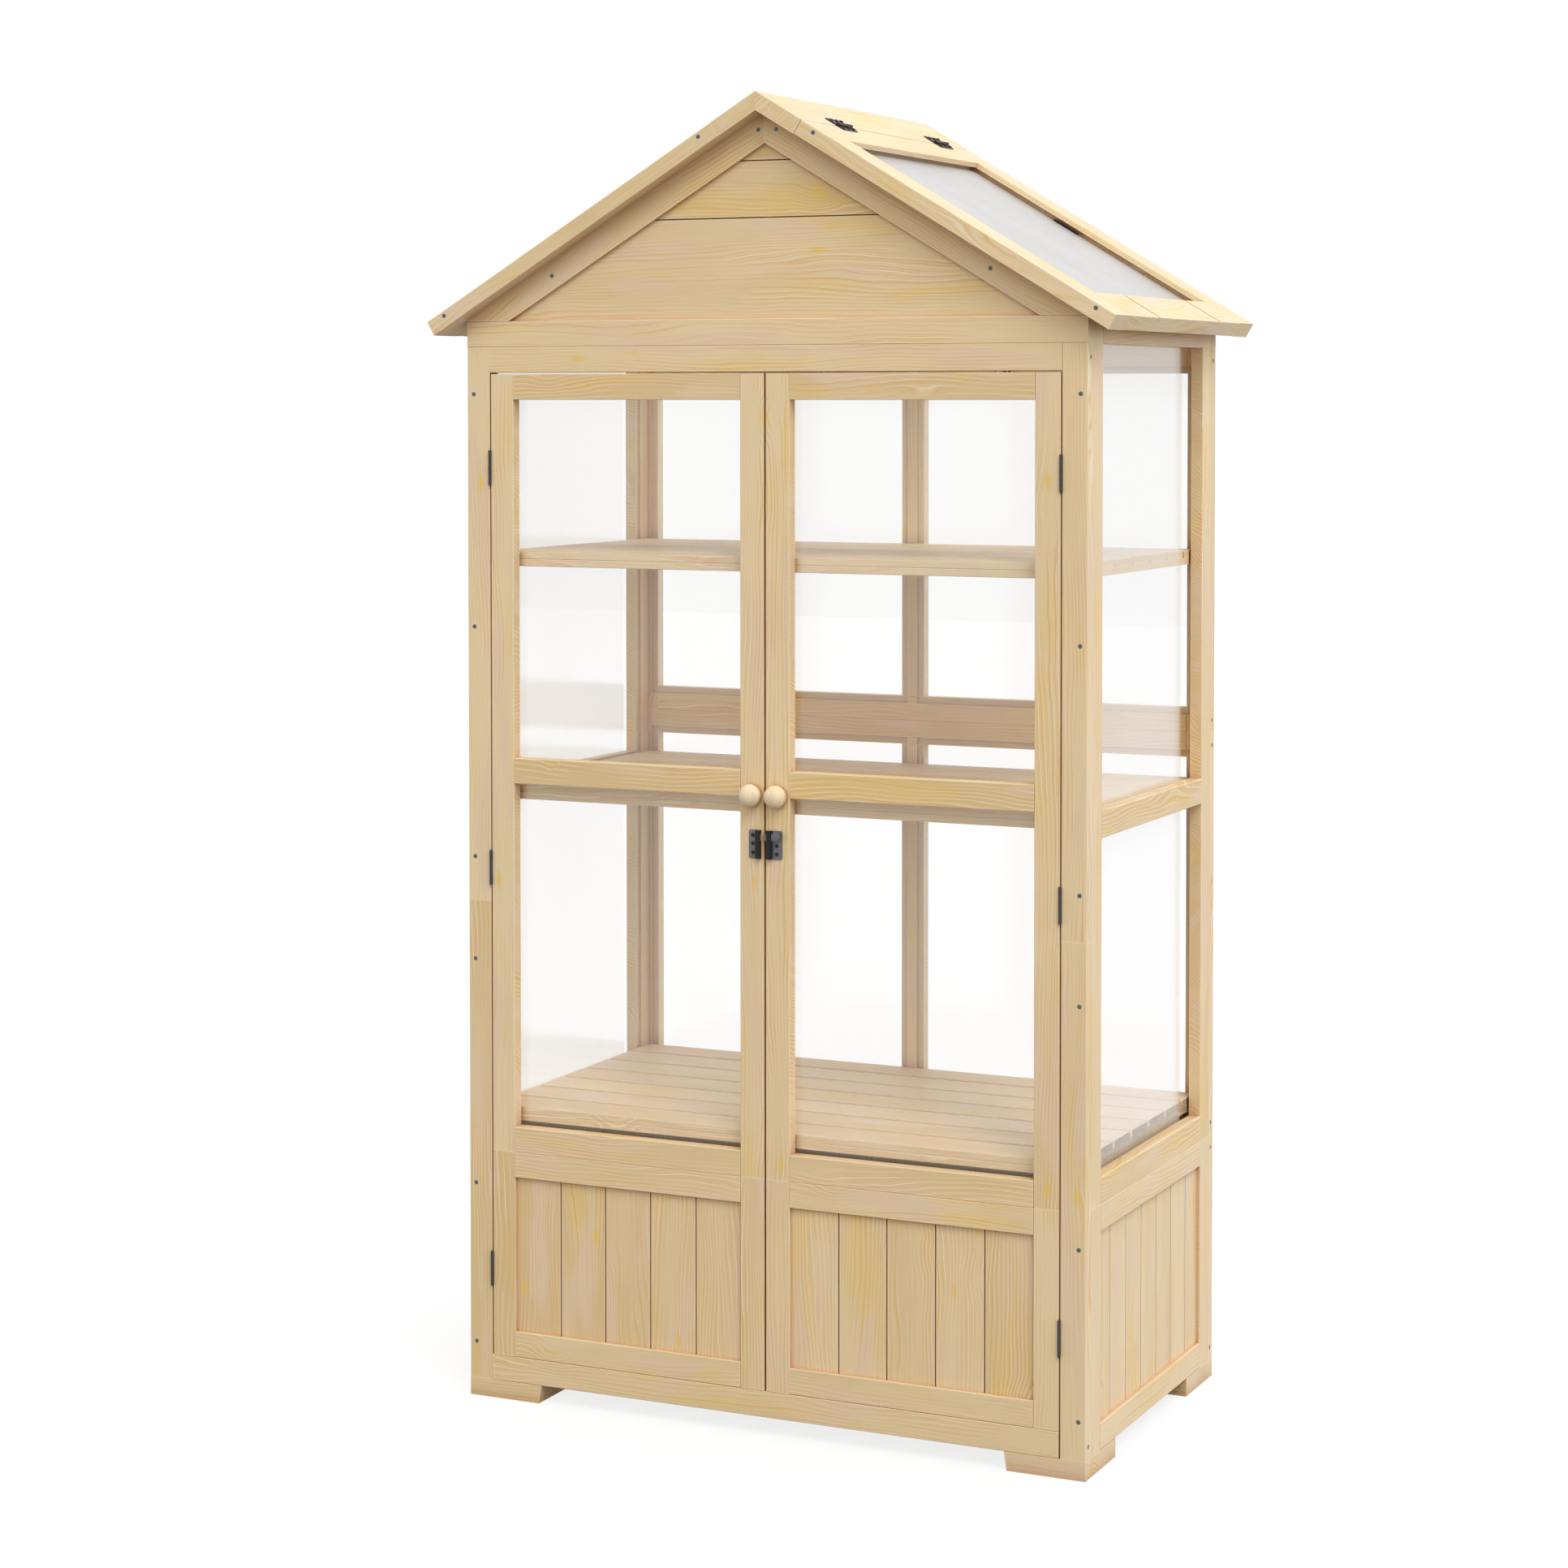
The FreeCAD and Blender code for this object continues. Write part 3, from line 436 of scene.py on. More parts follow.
cabinet = {
    "waist": 344 * mm,
    "backSplit": 911 * mm,
    "backTop": 1414 * mm,
    "backRail": 35 * mm,
    "postSplit": 689 * mm,
    "stileInside": 418 * mm,
    "mullionHalf": 17.5 * mm,
    "doorMiddle": 208.75 * mm,
    "doorInside": 172.5 * mm,
    "doorBoard": 69 * mm,
    "sideMiddle": 1.5 * mm,
    "sideInside": 201 * mm,
    "wallBoard": 60.75 * mm,
    "gableRailTop": 1484 * mm,
    "gableSeams": (1617 * mm, 1692 * mm),
    "ridge": 1780 * mm,
    "eave": 1483.25 * mm,
    "halfWidth": 500 * mm,
    "roofOpening": 222.5 * mm,
    "slatPitch": 69.3 * mm,
    "slatFront": -232.5 * mm,
}
cabinet["pitch"] = math.atan2(cabinet["ridge"] - cabinet["eave"], cabinet["halfWidth"])
seeds = {
    "shift": (3.17, 1.93, 2.41),
    "doorSide": 3.6,
    "wallSide": 4.3,
    "shelf": 7.0,
    "shelvesPerMetre": 3.0,
    "knob": (1.5, 2.2, 8.0),
}


def seeded(tree, seed, *place):
    # moves the pattern on by the seed, so that neighbours don't share their grain
    moved = [timesPlus(tree, seed, shift, part) for shift, part in zip(seeds["shift"], place)]
    return combine(tree, *moved)


def uprightPlace(tree, x, y, z):
    return seeded(tree, above(tree, z, cabinet["postSplit"]), z, x, y)


def acrossPlace(tree, x, y, z):
    return combine(tree, x, z, y)


def doorFramePlace(tree, x, y, z):
    side = calc(tree, "SUBTRACT", sizeOf(tree, x), cabinet["doorMiddle"])
    stile = above(tree, sizeOf(tree, side), cabinet["doorInside"])
    seed = above(tree, z, cabinet["waist"])
    upright = seeded(tree, seed, z, x, y)
    return blendVectors(tree, stile, seeded(tree, seed, x, z, y), upright)


def sideFramePlace(tree, x, y, z):
    offset = calc(tree, "SUBTRACT", y, cabinet["sideMiddle"])
    stile = above(tree, sizeOf(tree, offset), cabinet["sideInside"])
    seed = above(tree, z, cabinet["waist"])
    upright = seeded(tree, seed, z, y, x)
    return blendVectors(tree, stile, seeded(tree, seed, y, z, x), upright)


def backFramePlace(tree, x, y, z):
    size = sizeOf(tree, x)
    stile = above(tree, size, cabinet["stileInside"])
    rail, split = cabinet["backRail"], cabinet["backSplit"]
    lower = within(tree, z, cabinet["waist"] + rail, split - rail)
    upper = within(tree, z, split + rail, cabinet["backTop"])
    mullion = calc(tree, "LESS_THAN", size, cabinet["mullionHalf"])
    middle = times(tree, mullion, calc(tree, "ADD", lower, upper))
    upright = calc(tree, "MAXIMUM", stile, middle)
    seed = calc(tree, "ADD", above(tree, z, cabinet["waist"]), above(tree, z, split))
    return blendVectors(tree, upright, seeded(tree, seed, x, z, y), seeded(tree, seed, z, x, y))


def doorBoardPlace(tree, x, y, z):
    side = calc(tree, "SUBTRACT", sizeOf(tree, x), cabinet["doorMiddle"])
    board = calc(tree, "ROUND", calc(tree, "DIVIDE", side, cabinet["doorBoard"]))
    seed = timesPlus(tree, calc(tree, "SIGN", x), seeds["doorSide"], board)
    return seeded(tree, seed, z, x, y)


def sideBoardPlace(tree, x, y, z):
    offset = calc(tree, "SUBTRACT", y, cabinet["sideMiddle"])
    board = calc(tree, "ROUND", calc(tree, "DIVIDE", offset, cabinet["wallBoard"]))
    seed = timesPlus(tree, calc(tree, "SIGN", x), seeds["wallSide"], board)
    return seeded(tree, seed, z, y, x)


def backBoardPlace(tree, x, y, z):
    # an even number of boards, so a seam lies at the middle
    seed = calc(tree, "FLOOR", calc(tree, "DIVIDE", x, cabinet["wallBoard"]))
    return seeded(tree, seed, z, x, y)


def gableBoardPlace(tree, x, y, z):
    seed = calc(tree, "ADD", *(above(tree, z, seam) for seam in cabinet["gableSeams"]))
    return seeded(tree, seed, x, z, y)


def slopeParts(tree, x, z):
    # distance down the slope from the ridge, and square to it, alike on both slopes
    size = sizeOf(tree, x)
    drop = calc(tree, "SUBTRACT", cabinet["ridge"], z)
    cosine, sine = math.cos(cabinet["pitch"]), math.sin(cabinet["pitch"])
    down = timesPlus(tree, size, cosine, times(tree, drop, sine))
    into = timesPlus(tree, drop, cosine, times(tree, size, -sine))
    return down, into


def gableFramePlace(tree, x, y, z):
    down, into = slopeParts(tree, x, z)
    rafter = above(tree, z, cabinet["gableRailTop"])
    slope = seeded(tree, calc(tree, "SIGN", x), down, into, y)
    return blendVectors(tree, rafter, combine(tree, x, z, y), slope)


def roofPlace(tree, x, y, z):
    down, into = slopeParts(tree, x, z)
    sideRail = above(tree, sizeOf(tree, y), cabinet["roofOpening"])
    slope = seeded(tree, calc(tree, "SIGN", x), down, y, into)
    return blendVectors(tree, sideRail, combine(tree, y, down, into), slope)


def ridgePlace(tree, x, y, z):
    down, into = slopeParts(tree, x, z)
    return seeded(tree, calc(tree, "SIGN", x), y, down, into)


def slatPlace(tree, x, y, z):
    fromFront = calc(tree, "SUBTRACT", y, cabinet["slatFront"])
    slat = calc(tree, "FLOOR", calc(tree, "DIVIDE", fromFront, cabinet["slatPitch"]))
    shelf = calc(tree, "ROUND", times(tree, z, seeds["shelvesPerMetre"]))
    seed = timesPlus(tree, shelf, seeds["shelf"], slat)
    return seeded(tree, seed, x, y, z)


def turnedPlace(tree, x, y, z):
    # the knobs' grain runs up and down, close set
    return combine(tree, *(times(tree, part, rate) for part, rate in zip((z, x, y), seeds["knob"])))


# how far each finish looks for a gap to paint shade into, where that isn't the usual reach
reaches = {"firRoof": 20 * mm, "firRidge": 5 * mm, "firSlats": 9 * mm, "firTurned": 4 * mm}
firPlaces = {
    "firUpright": uprightPlace,
    "firAcross": acrossPlace,
    "firDoorFrame": doorFramePlace,
    "firSideFrame": sideFramePlace,
    "firBackFrame": backFramePlace,
    "firDoorBoards": doorBoardPlace,
    "firSideBoards": sideBoardPlace,
    "firBackBoards": backBoardPlace,
    "firGableBoards": gableBoardPlace,
    "firGableFrame": gableFramePlace,
    "firRoof": roofPlace,
    "firRidge": ridgePlace,
    "firSlats": slatPlace,
}
finishes = {}
for name, makePlace in firPlaces.items():
    finishes[name] = firMaterial(name, makePlace, reach=reaches.get(name, fir["gapReach"]))
finishes["firTurned"] = firMaterial("firTurned", turnedPlace, knobWood, reaches["firTurned"])
print("fir finishes made:", len(finishes))


# panes and steel fittings

clearSheet = {
    "tint": colour(250, 250, 250),
    "haze": 0.07,
    "grazing": 0.58,
    "mirror": 0.7,
    "rough": 0.12,
}
backSheet = {**clearSheet, "haze": 0.06}
milkySheet = {
    "tint": colour(203, 202, 201),
    "haze": 0.80,
    "grazing": 0.12,
    "mirror": 0.0,
    "rough": 0.34,
}
film = {
    "cloudScale": 7.0,
    "cloudDetail": 3.0,
    "cloudRange": (0.3, 0.7, 0.96, 1.04),
    "wipeStretch": (3.0, 16.0),
    "wipeScale": 1.0,
    "wipeRange": (0.35, 0.7, 0.9, 1.15),
    "rear": 162.5 * mm,
    "rearFade": 1.5 * mm,
}
# grey paint standing for black gloss that mirrors bright light: a painted reflection on the latch
# plates, bolt and grip
reflectionGreySteel = {
    "paint": colour(104, 105, 109),
    "worn and highlight": colour(132, 134, 138),
    "scuffed": 0.5,
    "rough": 0.40,
    "metal": 0.35,
    "shine": 0.5,
}
hingeSteel = {
    **reflectionGreySteel,
    "paint": colour(58, 64, 70),
    "worn and highlight": colour(120, 125, 130),
    "scuffed": 0.35,
    "rough": 0.42,
}
screwSteel = {**reflectionGreySteel, "paint": colour(86, 92, 99), "worn and highlight": colour(140, 145, 150)}
darkSteel = {
    "paint": colour(14, 14, 15),
    "worn and highlight": colour(112, 115, 120),
    "scuffed": 0.3,
    "rough": 0.24,
    "metal": 0.0,
    "shine": 0.3,
}
scuff = {
    "gritScale": 420.0,
    "gritDetail": 3.0,
    "gritRoughness": 0.6,
    "rubRange": (0.56, 0.72),
    "rubAmount": 0.6,
    "rubRoughness": 0.12,
    "arris": (0.85, 0.5),
    "reach": 0.8 * mm,
    "bumpStrength": 0.15,
    "bumpHeight": 0.1 * mm,
}


def makeFilmGroup():
    # cloudy film on a sheet, with faint wipe marks
    inputs = [("Place", "Vector"), ("Haze", "Float"), ("Rough", "Float")]
    outputs = [("Haze", "Float"), ("Roughness", "Float")]
    group, given, result = openGroup("sheetFilm", inputs, outputs)
    cloud = noise(group, given["Place"], film["cloudScale"], film["cloudDetail"])
    wiped = stretched(group, given["Place"], *film["wipeStretch"])
    wipes = noise(group, wiped, film["wipeScale"])
    haze = times(group, given["Haze"], spread(group, cloud, *film["cloudRange"]))
    rough = times(group, given["Rough"], spread(group, wipes, *film["wipeRange"]))
    feed(group, result["Haze"], haze)
    feed(group, result["Roughness"], rough)
    return group


def makeScuffGroup():
    # bare metal where paint has rubbed off, mostly on the edges
    inputs = [("Place", "Vector"), ("Paint", "Color"), ("Worn and highlight", "Color")]
    inputs += [("Edge", "Float"), ("Scuffed", "Float"), ("Rough", "Float")]
    outputs = [("Color", "Color"), ("Roughness", "Float"), ("Height", "Float")]
    group, given, result = openGroup("scuffedSteel", inputs, outputs)
    settings = (scuff[key] for key in ("gritScale", "gritDetail", "gritRoughness"))
    grit = noise(group, given["Place"], *settings)
    rub = spread(group, grit, *scuff["rubRange"])
    arris = spread(group, given["Edge"], *scuff["arris"])
    bare = calc(group, "MAXIMUM", times(group, rub, scuff["rubAmount"]), arris)
    tone = blendColours(group, times(group, bare, given["Scuffed"]), given["Paint"], given["Worn and highlight"])
    feed(group, result["Color"], tone)
    feed(group, result["Roughness"], timesPlus(group, rub, scuff["rubRoughness"], given["Rough"]))
    feed(group, result["Height"], grit)
    return group


filmGroup = makeFilmGroup()
scuffGroup = makeScuffGroup()


def clearAtRear(tree, x, y, z):
    # the side panes' film stops short of the rear stiles
    half = film["rearFade"] / 2
    return spread(tree, y, film["rear"] - half, film["rear"] + half, 1.0, 0.0)


def openMaterial(name):
    # a new material with its own shader, and the object's coordinates
    material = bpy.data.materials.new(name)
    material.use_nodes = True
    tree = material.node_tree
    place = addNode(tree, "ShaderNodeTexCoord").outputs["Object"]
    return material, tree, tree.nodes["Principled BSDF"], place


def sheetMaterial(name, values, hazeMask=None):
    material, tree, shader, place = openMaterial(name)
    sheetFilm = addNode(tree, "ShaderNodeGroup", node_tree=filmGroup)
    feedByName(tree, sheetFilm, {"Place": place, "Haze": values["haze"], "Rough": values["rough"]})
    facing = addNode(tree, "ShaderNodeLayerWeight").outputs["Facing"]
    grazing = times(tree, times(tree, facing, facing), values["grazing"])
    clouded = calc(tree, "ADD", sheetFilm.outputs["Haze"], grazing)
    if hazeMask:
        clouded = times(tree, clouded, hazeMask(tree, *splitUp(tree, place)))
    feedByName(tree, shader, {
        "Base Color": values["tint"],
        "Roughness": sheetFilm.outputs["Roughness"],
        "Metallic": values["mirror"],
        "Alpha": calc(tree, "MINIMUM", clouded, 1.0),
    })
    return material


def steelMaterial(name, values):
    material, tree, shader, place = openMaterial(name)
    scuffs = addNode(tree, "ShaderNodeGroup", node_tree=scuffGroup)
    keys = ("paint", "worn and highlight", "scuffed", "rough")
    feedByName(tree, scuffs, {key.capitalize(): values[key] for key in keys})
    feedByName(tree, scuffs, {"Place": place, "Edge": nearness(tree, scuff["reach"], True)})
    feedByName(tree, shader, {
        "Base Color": scuffs.outputs["Color"],
        "Roughness": scuffs.outputs["Roughness"],
        "Metallic": values["metal"],
        "Specular IOR Level": values["shine"],
    })
    height = scuffs.outputs["Height"]
    addBump(tree, shader, height, scuff["bumpStrength"], scuff["bumpHeight"])
    return material


for name, values, mask in (
    ("clearSheet", clearSheet, None),
    ("sideSheet", clearSheet, clearAtRear),
    ("backSheet", backSheet, None),
    ("milkySheet", milkySheet, None),
):
    finishes[name] = sheetMaterial(name, values, mask)
for name, values in (
    ("darkSteel", darkSteel),
    ("reflectionGreySteel", reflectionGreySteel),
    ("hingeSteel", hingeSteel),
    ("screwSteel", screwSteel),
):
    finishes[name] = steelMaterial(name, values)
print("sheet and steel finishes made")


# every node gets its finish: the first line whose start fits its name

finishByNode = [
    ("front_post", "firUpright"),
    (("front_top_rail", "front_bottom_rail", "feet"), "firAcross"),
    (("side_upper_frame", "side_lower_frame"), "firSideFrame"),
    ("side_boards", "firSideBoards"),
    ("side_panes", "sideSheet"),
    ("back_panes", "backSheet"),
    ("back_boards", "firBackBoards"),
    (("back_gable_frame", "front_gable_frame"), "firGableFrame"),
    (("back_gable_boards", "front_gable_boards"), "firGableBoards"),
    ("back_", "firBackFrame"),
    (("left_door_panes", "right_door_panes"), "clearSheet"),
    (("left_door_boards", "right_door_boards"), "firDoorBoards"),
    (("left_door_hinge", "right_door_hinge"), "darkSteel"),
    (("left_door_knob", "right_door_knob"), "firTurned"),
    (("left_door", "right_door"), "firDoorFrame"),
    ("ridge_board", "firRidge"),
    (("left_roof_pane", "flap_pane"), "milkySheet"),
    (("flap_screws", "frame_screws", "top_gap_studs"), "screwSteel"),
    (("left_roof", "flap_"), "firRoof"),
    (("floor_shelf", "middle_shelf", "top_shelf"), "firSlats"),
    ("", "darkSteel"),
]
for name, piece in nodes.items():
    finish = next(finish for start, finish in finishByNode if name.startswith(start))
    piece.data.materials.clear()
    piece.data.materials.append(finishes[finish])
    piece.visible_shadow = "Sheet" not in finish  # thin sheets hardly shade what is behind them
print("finishes given to the nodes")


# modelling helpers for the fittings

fittings = {
    "frontFace": -254.5 * mm,
    "knobX": 18.5 * mm,
    "knobLevel": 854 * mm,
    "latchLevel": 789.5 * mm,
    "roundSides": 24,
    "cornerSteps": 4,
    "ease": 0.25 * mm,
    "barrelEase": 0.3 * mm,
    "smoothAngle": 35,
    "arrisAngle": 0.9,
    "along": 0.9,
    "across": 0.1,
}
screwHead = {"dome": 0.85, "domeSteps": 4, "slotWidth": 0.42, "slotLevel": 1.15}


def clearPick():
    bpy.ops.object.select_all(action="DESELECT")


def settle(piece):
    # the place goes into the mesh, and the object stays at the origin
    clearPick()
    piece.select_set(True)
    bpy.context.view_layer.objects.active = piece
    bpy.ops.object.transform_apply(location=True, rotation=True, scale=True)
    return piece


def pickParts(piece, kind, test):
    # in edit mode, selects only the faces or edges that pass the test
    cage = bmesh.from_edit_mesh(piece.data)
    bpy.ops.mesh.select_mode(type=kind)
    for part in (*cage.verts, *cage.edges, *cage.faces):
        part.select_set(False)
    for part in (cage.faces if kind == "FACE" else cage.edges):
        if test(part):
            part.select_set(True)
    cage.select_flush_mode()
    bmesh.update_edit_mesh(piece.data)


def bevelEdges(piece, test, width, segments=2):
    # in edit mode, rounds the edges that pass the test
    pickParts(piece, "EDGE", test)
    bpy.ops.mesh.bevel(offset=width, segments=segments, affect="EDGES")


def middleOf(edge):
    return (edge.verts[0].co + edge.verts[1].co) / 2


def runOf(edge):
    return (edge.verts[1].co - edge.verts[0].co).normalized()


def runsAlong(edge, axis):
    return abs(getattr(runOf(edge), axis)) > fittings["along"]


def runsAcross(edge, axis):
    return abs(getattr(runOf(edge), axis)) < fittings["across"]


def isArris(edge):
    return edge.calc_face_angle(0) > fittings["arrisAngle"]


def sheetPlate(low, high, corner=0.0, cornersAt=None, ease=fittings["ease"]):
    # a flat plate: corners that pass cornersAt are rounded across its thickness (y),
    # then all its arrises are eased, unless ease is 0
    clearPick()
    middle = [(a + b) / 2 for a, b in zip(low, high)]
    bpy.ops.mesh.primitive_cube_add(size=1, location=middle)
    plate = bpy.context.object
    plate.scale = [b - a for a, b in zip(low, high)]
    settle(plate)
    bpy.ops.object.mode_set(mode="EDIT")
    if corner:
        bevelEdges(
            plate,
            lambda edge: runsAlong(edge, "y") and cornersAt(middleOf(edge)),
            corner,
            fittings["cornerSteps"],
        )
    if ease:
        bevelEdges(plate, isArris, ease)
    bpy.ops.object.mode_set(mode="OBJECT")
    return plate


def barrel(start, run, radius, ease=fittings["barrelEase"]):
    # a round bar along a straight run, with eased rims
    clearPick()
    run = Vector(run)
    bpy.ops.mesh.primitive_cylinder_add(
        vertices=fittings["roundSides"],
        radius=radius,
        depth=run.length,
        location=Vector(start) + run / 2,
        rotation=run.to_track_quat("Z", "Y").to_euler(),
    )
    bar = settle(bpy.context.object)
    way = run.normalized()
    bpy.ops.object.mode_set(mode="EDIT")
    bevelEdges(bar, lambda edge: abs(runOf(edge).dot(way)) < fittings["across"], ease)
    bpy.ops.object.mode_set(mode="OBJECT")
    return bar


def makeScrewHead(radius, rise, recess):
    # a low domed head along z, standing on its rim at the origin, with a cross recess
    clearPick()
    sides = fittings["roundSides"]
    middle = (0, 0, rise / 2)
    bpy.ops.mesh.primitive_cylinder_add(vertices=sides, radius=radius, depth=rise, location=middle)
    head = settle(bpy.context.object)
    bpy.ops.object.mode_set(mode="EDIT")
    bevelEdges(
        head,
        lambda edge: runsAcross(edge, "z") and middleOf(edge).z > rise / 2,
        rise * screwHead["dome"],
        screwHead["domeSteps"],
    )
    bpy.ops.object.mode_set(mode="OBJECT")
    length, width = recess * 2, recess * screwHead["slotWidth"]
    for size in ((length, width, rise), (width, length, rise)):
        clearPick()
        bpy.ops.mesh.primitive_cube_add(size=1, location=(0, 0, rise * screwHead["slotLevel"]))
        cutter = bpy.context.object
        cutter.scale = size
        settle(cutter)
        slot = head.modifiers.new("crossRecess", "BOOLEAN")
        slot.operation = "DIFFERENCE"
        slot.object = cutter
        bpy.context.view_layer.objects.active = head
        bpy.ops.object.modifier_apply(modifier=slot.name)
        bpy.data.objects.remove(cutter)
    return head


def placeCopy(master, spot, outward):
    copy = master.copy()
    copy.data = master.data.copy()
    bpy.context.scene.collection.objects.link(copy)
    copy.rotation_euler = Vector(outward).to_track_quat("Z", "Y").to_euler()
    copy.location = spot
    return settle(copy)


def joinAs(name, parts):
    clearPick()
    for part in parts:
        part.select_set(True)
    bpy.context.view_layer.objects.active = parts[0]
    if len(parts) > 1:
        bpy.ops.object.join()
    piece = bpy.context.object
    piece.name = name
    piece.data.name = name
    bpy.ops.object.shade_smooth_by_angle(angle=math.radians(fittings["smoothAngle"]))
    return piece


def dress(piece, finish, body, slot, *replaced):
    piece.data.materials.clear()
    piece.data.materials.append(finishes[finish])
    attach(piece, body)
    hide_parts(*replaced)


# turned knobs

knob = {
    "segments": 40,
    "rings": 24,
    "radius": 15.3 * mm,
    "neck": 9.0 * mm,
    "neckTaper": 0.92,
    "neckLength": 3.0 * mm,
    "seatFlare": 1.08,
    "widest": 8.0 * mm,
    "length": 20.0 * mm,
    "cutReach": 0.1 * mm,
    "cutFacing": 0.99,
}


def makeKnob(name, x):
    face = fittings["frontFace"]
    centre = Vector((x, face - knob["widest"], fittings["knobLevel"]))
    clearPick()
    bpy.ops.mesh.primitive_uv_sphere_add(
        segments=knob["segments"],
        ring_count=knob["rings"],
        radius=knob["radius"],
        location=centre,
        rotation=(math.pi / 2, 0, 0),
    )
    ball = settle(bpy.context.object)
    front = (knob["length"] - knob["widest"]) / knob["radius"]
    bpy.ops.object.mode_set(mode="EDIT")
    pickParts(ball, "FACE", lambda side: side.calc_center_median().y < centre.y)
    bpy.ops.transform.resize(value=(1, front, 1), center_override=centre)
    bpy.ops.mesh.select_all(action="SELECT")
    cut = Vector((centre.x, face - knob["neckLength"], centre.z))
    bpy.ops.mesh.bisect(plane_co=cut, plane_no=(0, 1, 0), clear_outer=True, use_fill=True)

    def isCut(side):
        near = side.calc_center_median().y > cut.y - knob["cutReach"]
        return near and side.normal.y > knob["cutFacing"]

    pickParts(ball, "FACE", isCut)
    corners = [corner.co for corner in bmesh.from_edit_mesh(ball.data).verts if corner.select]
    cutRadius = max((corner - cut).length for corner in corners)
    shrink = knob["neck"] * knob["neckTaper"] / cutRadius
    bpy.ops.mesh.inset(thickness=cutRadius * (1 - shrink), depth=0)
    half = {"value": (0, knob["neckLength"] / 2, 0)}
    for step in range(2):
        bpy.ops.mesh.extrude_region_move(TRANSFORM_OT_translate=half)
    flare = (knob["seatFlare"], 1, knob["seatFlare"])
    bpy.ops.transform.resize(value=flare, center_override=(centre.x, face, centre.z))
    bpy.ops.object.mode_set(mode="OBJECT")
    return joinAs(name, [ball])


leftKnob = makeKnob("leftKnob", -fittings["knobX"])
dress(leftKnob, "firTurned", "left_door", "fir", "left_door_knob")
rightKnob = makeKnob("rightKnob", fittings["knobX"])
dress(rightKnob, "firTurned", "right_door", "fir", "right_door_knob")
print("knobs turned")


# latch: two plates with raised ribs, a bar between them and a faceted grip

latch = {
    "half": 19.0 * mm,
    "sheet": 1.5 * mm,
    "corner": 2.6 * mm,
    "cornerReach": 1.0 * mm,
    "keeper": (-22.5 * mm, -5.0 * mm),
    "body": (4.0 * mm, 26.0 * mm),
    "ribOut": 5.5 * mm,
    "ribWidth": 7.0 * mm,
    "ribLap": 1.0 * mm,
    "ribRoll": 1.0 * mm,
    "ribBack": 0.05 * mm,
    "ribFront": 0.2 * mm,
    "barLow": 794.5 * mm,
    "barHigh": 803.5 * mm,
    "barPlay": 0.3 * mm,
    "barBack": 1.8 * mm,
    "barThick": 2.0 * mm,
    "barEnds": (-0.3 * mm, 24.5 * mm),
    "barCorner": 1.2 * mm,
    "neckLength": 2.6 * mm,
    "neckRadius": 2.0 * mm,
    "neckEase": 0.1 * mm,
    "grip": (21.0 * mm, 802.0 * mm),
    "gripSides": 8,
    "gripRadius": 5.8 * mm,
    "gripDepth": 6.9 * mm,
    "gripRim": 1.4 * mm,
    "screw": (2.6 * mm, 1.3 * mm, 1.5 * mm),
    "keeperScrews": (-16.5 * mm, (-11.0, 1.0, 12.0)),
    "bodyScrews": (18.5 * mm, (-12.0, -1.0)),
}


def makeRib(start, end):
    # a hollow pressed rib, with its front arrises rolled, and a way through for the bar
    seat = fittings["frontFace"] - latch["ribBack"]
    front = fittings["frontFace"] - latch["ribOut"]
    skin = front + latch["sheet"]
    low, high = fittings["latchLevel"] - latch["half"], fittings["latchLevel"] + latch["half"]
    barLow, barHigh = latch["barLow"] - latch["barPlay"], latch["barHigh"] + latch["barPlay"]
    parts = []
    for near, far in ((low, barLow), (barHigh, high)):
        parts.append(sheetPlate((start, skin, near), (start + latch["sheet"], seat, far)))
        parts.append(sheetPlate((end - latch["sheet"], skin, near), (end, seat, far)))
    cover = sheetPlate((start, front, low), (end, skin, high), ease=0)

    def isFront(edge):
        return runsAlong(edge, "z") and middleOf(edge).y < front + latch["ribFront"]

    bpy.ops.object.mode_set(mode="EDIT")
    bevelEdges(cover, isFront, latch["ribRoll"], fittings["cornerSteps"])
    bpy.ops.object.mode_set(mode="OBJECT")
    return parts + [cover]


def makeLatchPlate(name, outer, rib, screwsAt, body, node):
    # a flat plate from its outer end to its rib, with its screws
    face, level = fittings["frontFace"], fittings["latchLevel"]
    low, high = level - latch["half"], level + latch["half"]
    back = face - latch["sheet"]
    near, far = rib
    inner = near + latch["ribLap"] if outer < near else far - latch["ribLap"]
    start, end = sorted((outer, inner))

    def atOuter(spot):
        return abs(spot.x - outer) < latch["cornerReach"]

    flat = sheetPlate((start, back, low), (end, face, high), latch["corner"], atOuter)
    x, steps = screwsAt
    screw = makeScrewHead(*latch["screw"])
    heads = [placeCopy(screw, (x, back, level + step * mm), (0, -1, 0)) for step in steps]
    bpy.data.objects.remove(screw)
    count = len(flat.data.polygons)
    plate = joinAs(name, [flat] + heads + makeRib(near, far))
    dress(plate, "reflectionGreySteel", body, "dark_steel", node)
    # the flat plate is painted grey, a painted reflection of bright light on the black gloss, and
    # what was joined to it is glossy black
    plate.data.materials.append(finishes["darkSteel"])
    for side in plate.data.polygons[count:]:
        side.material_index = 1


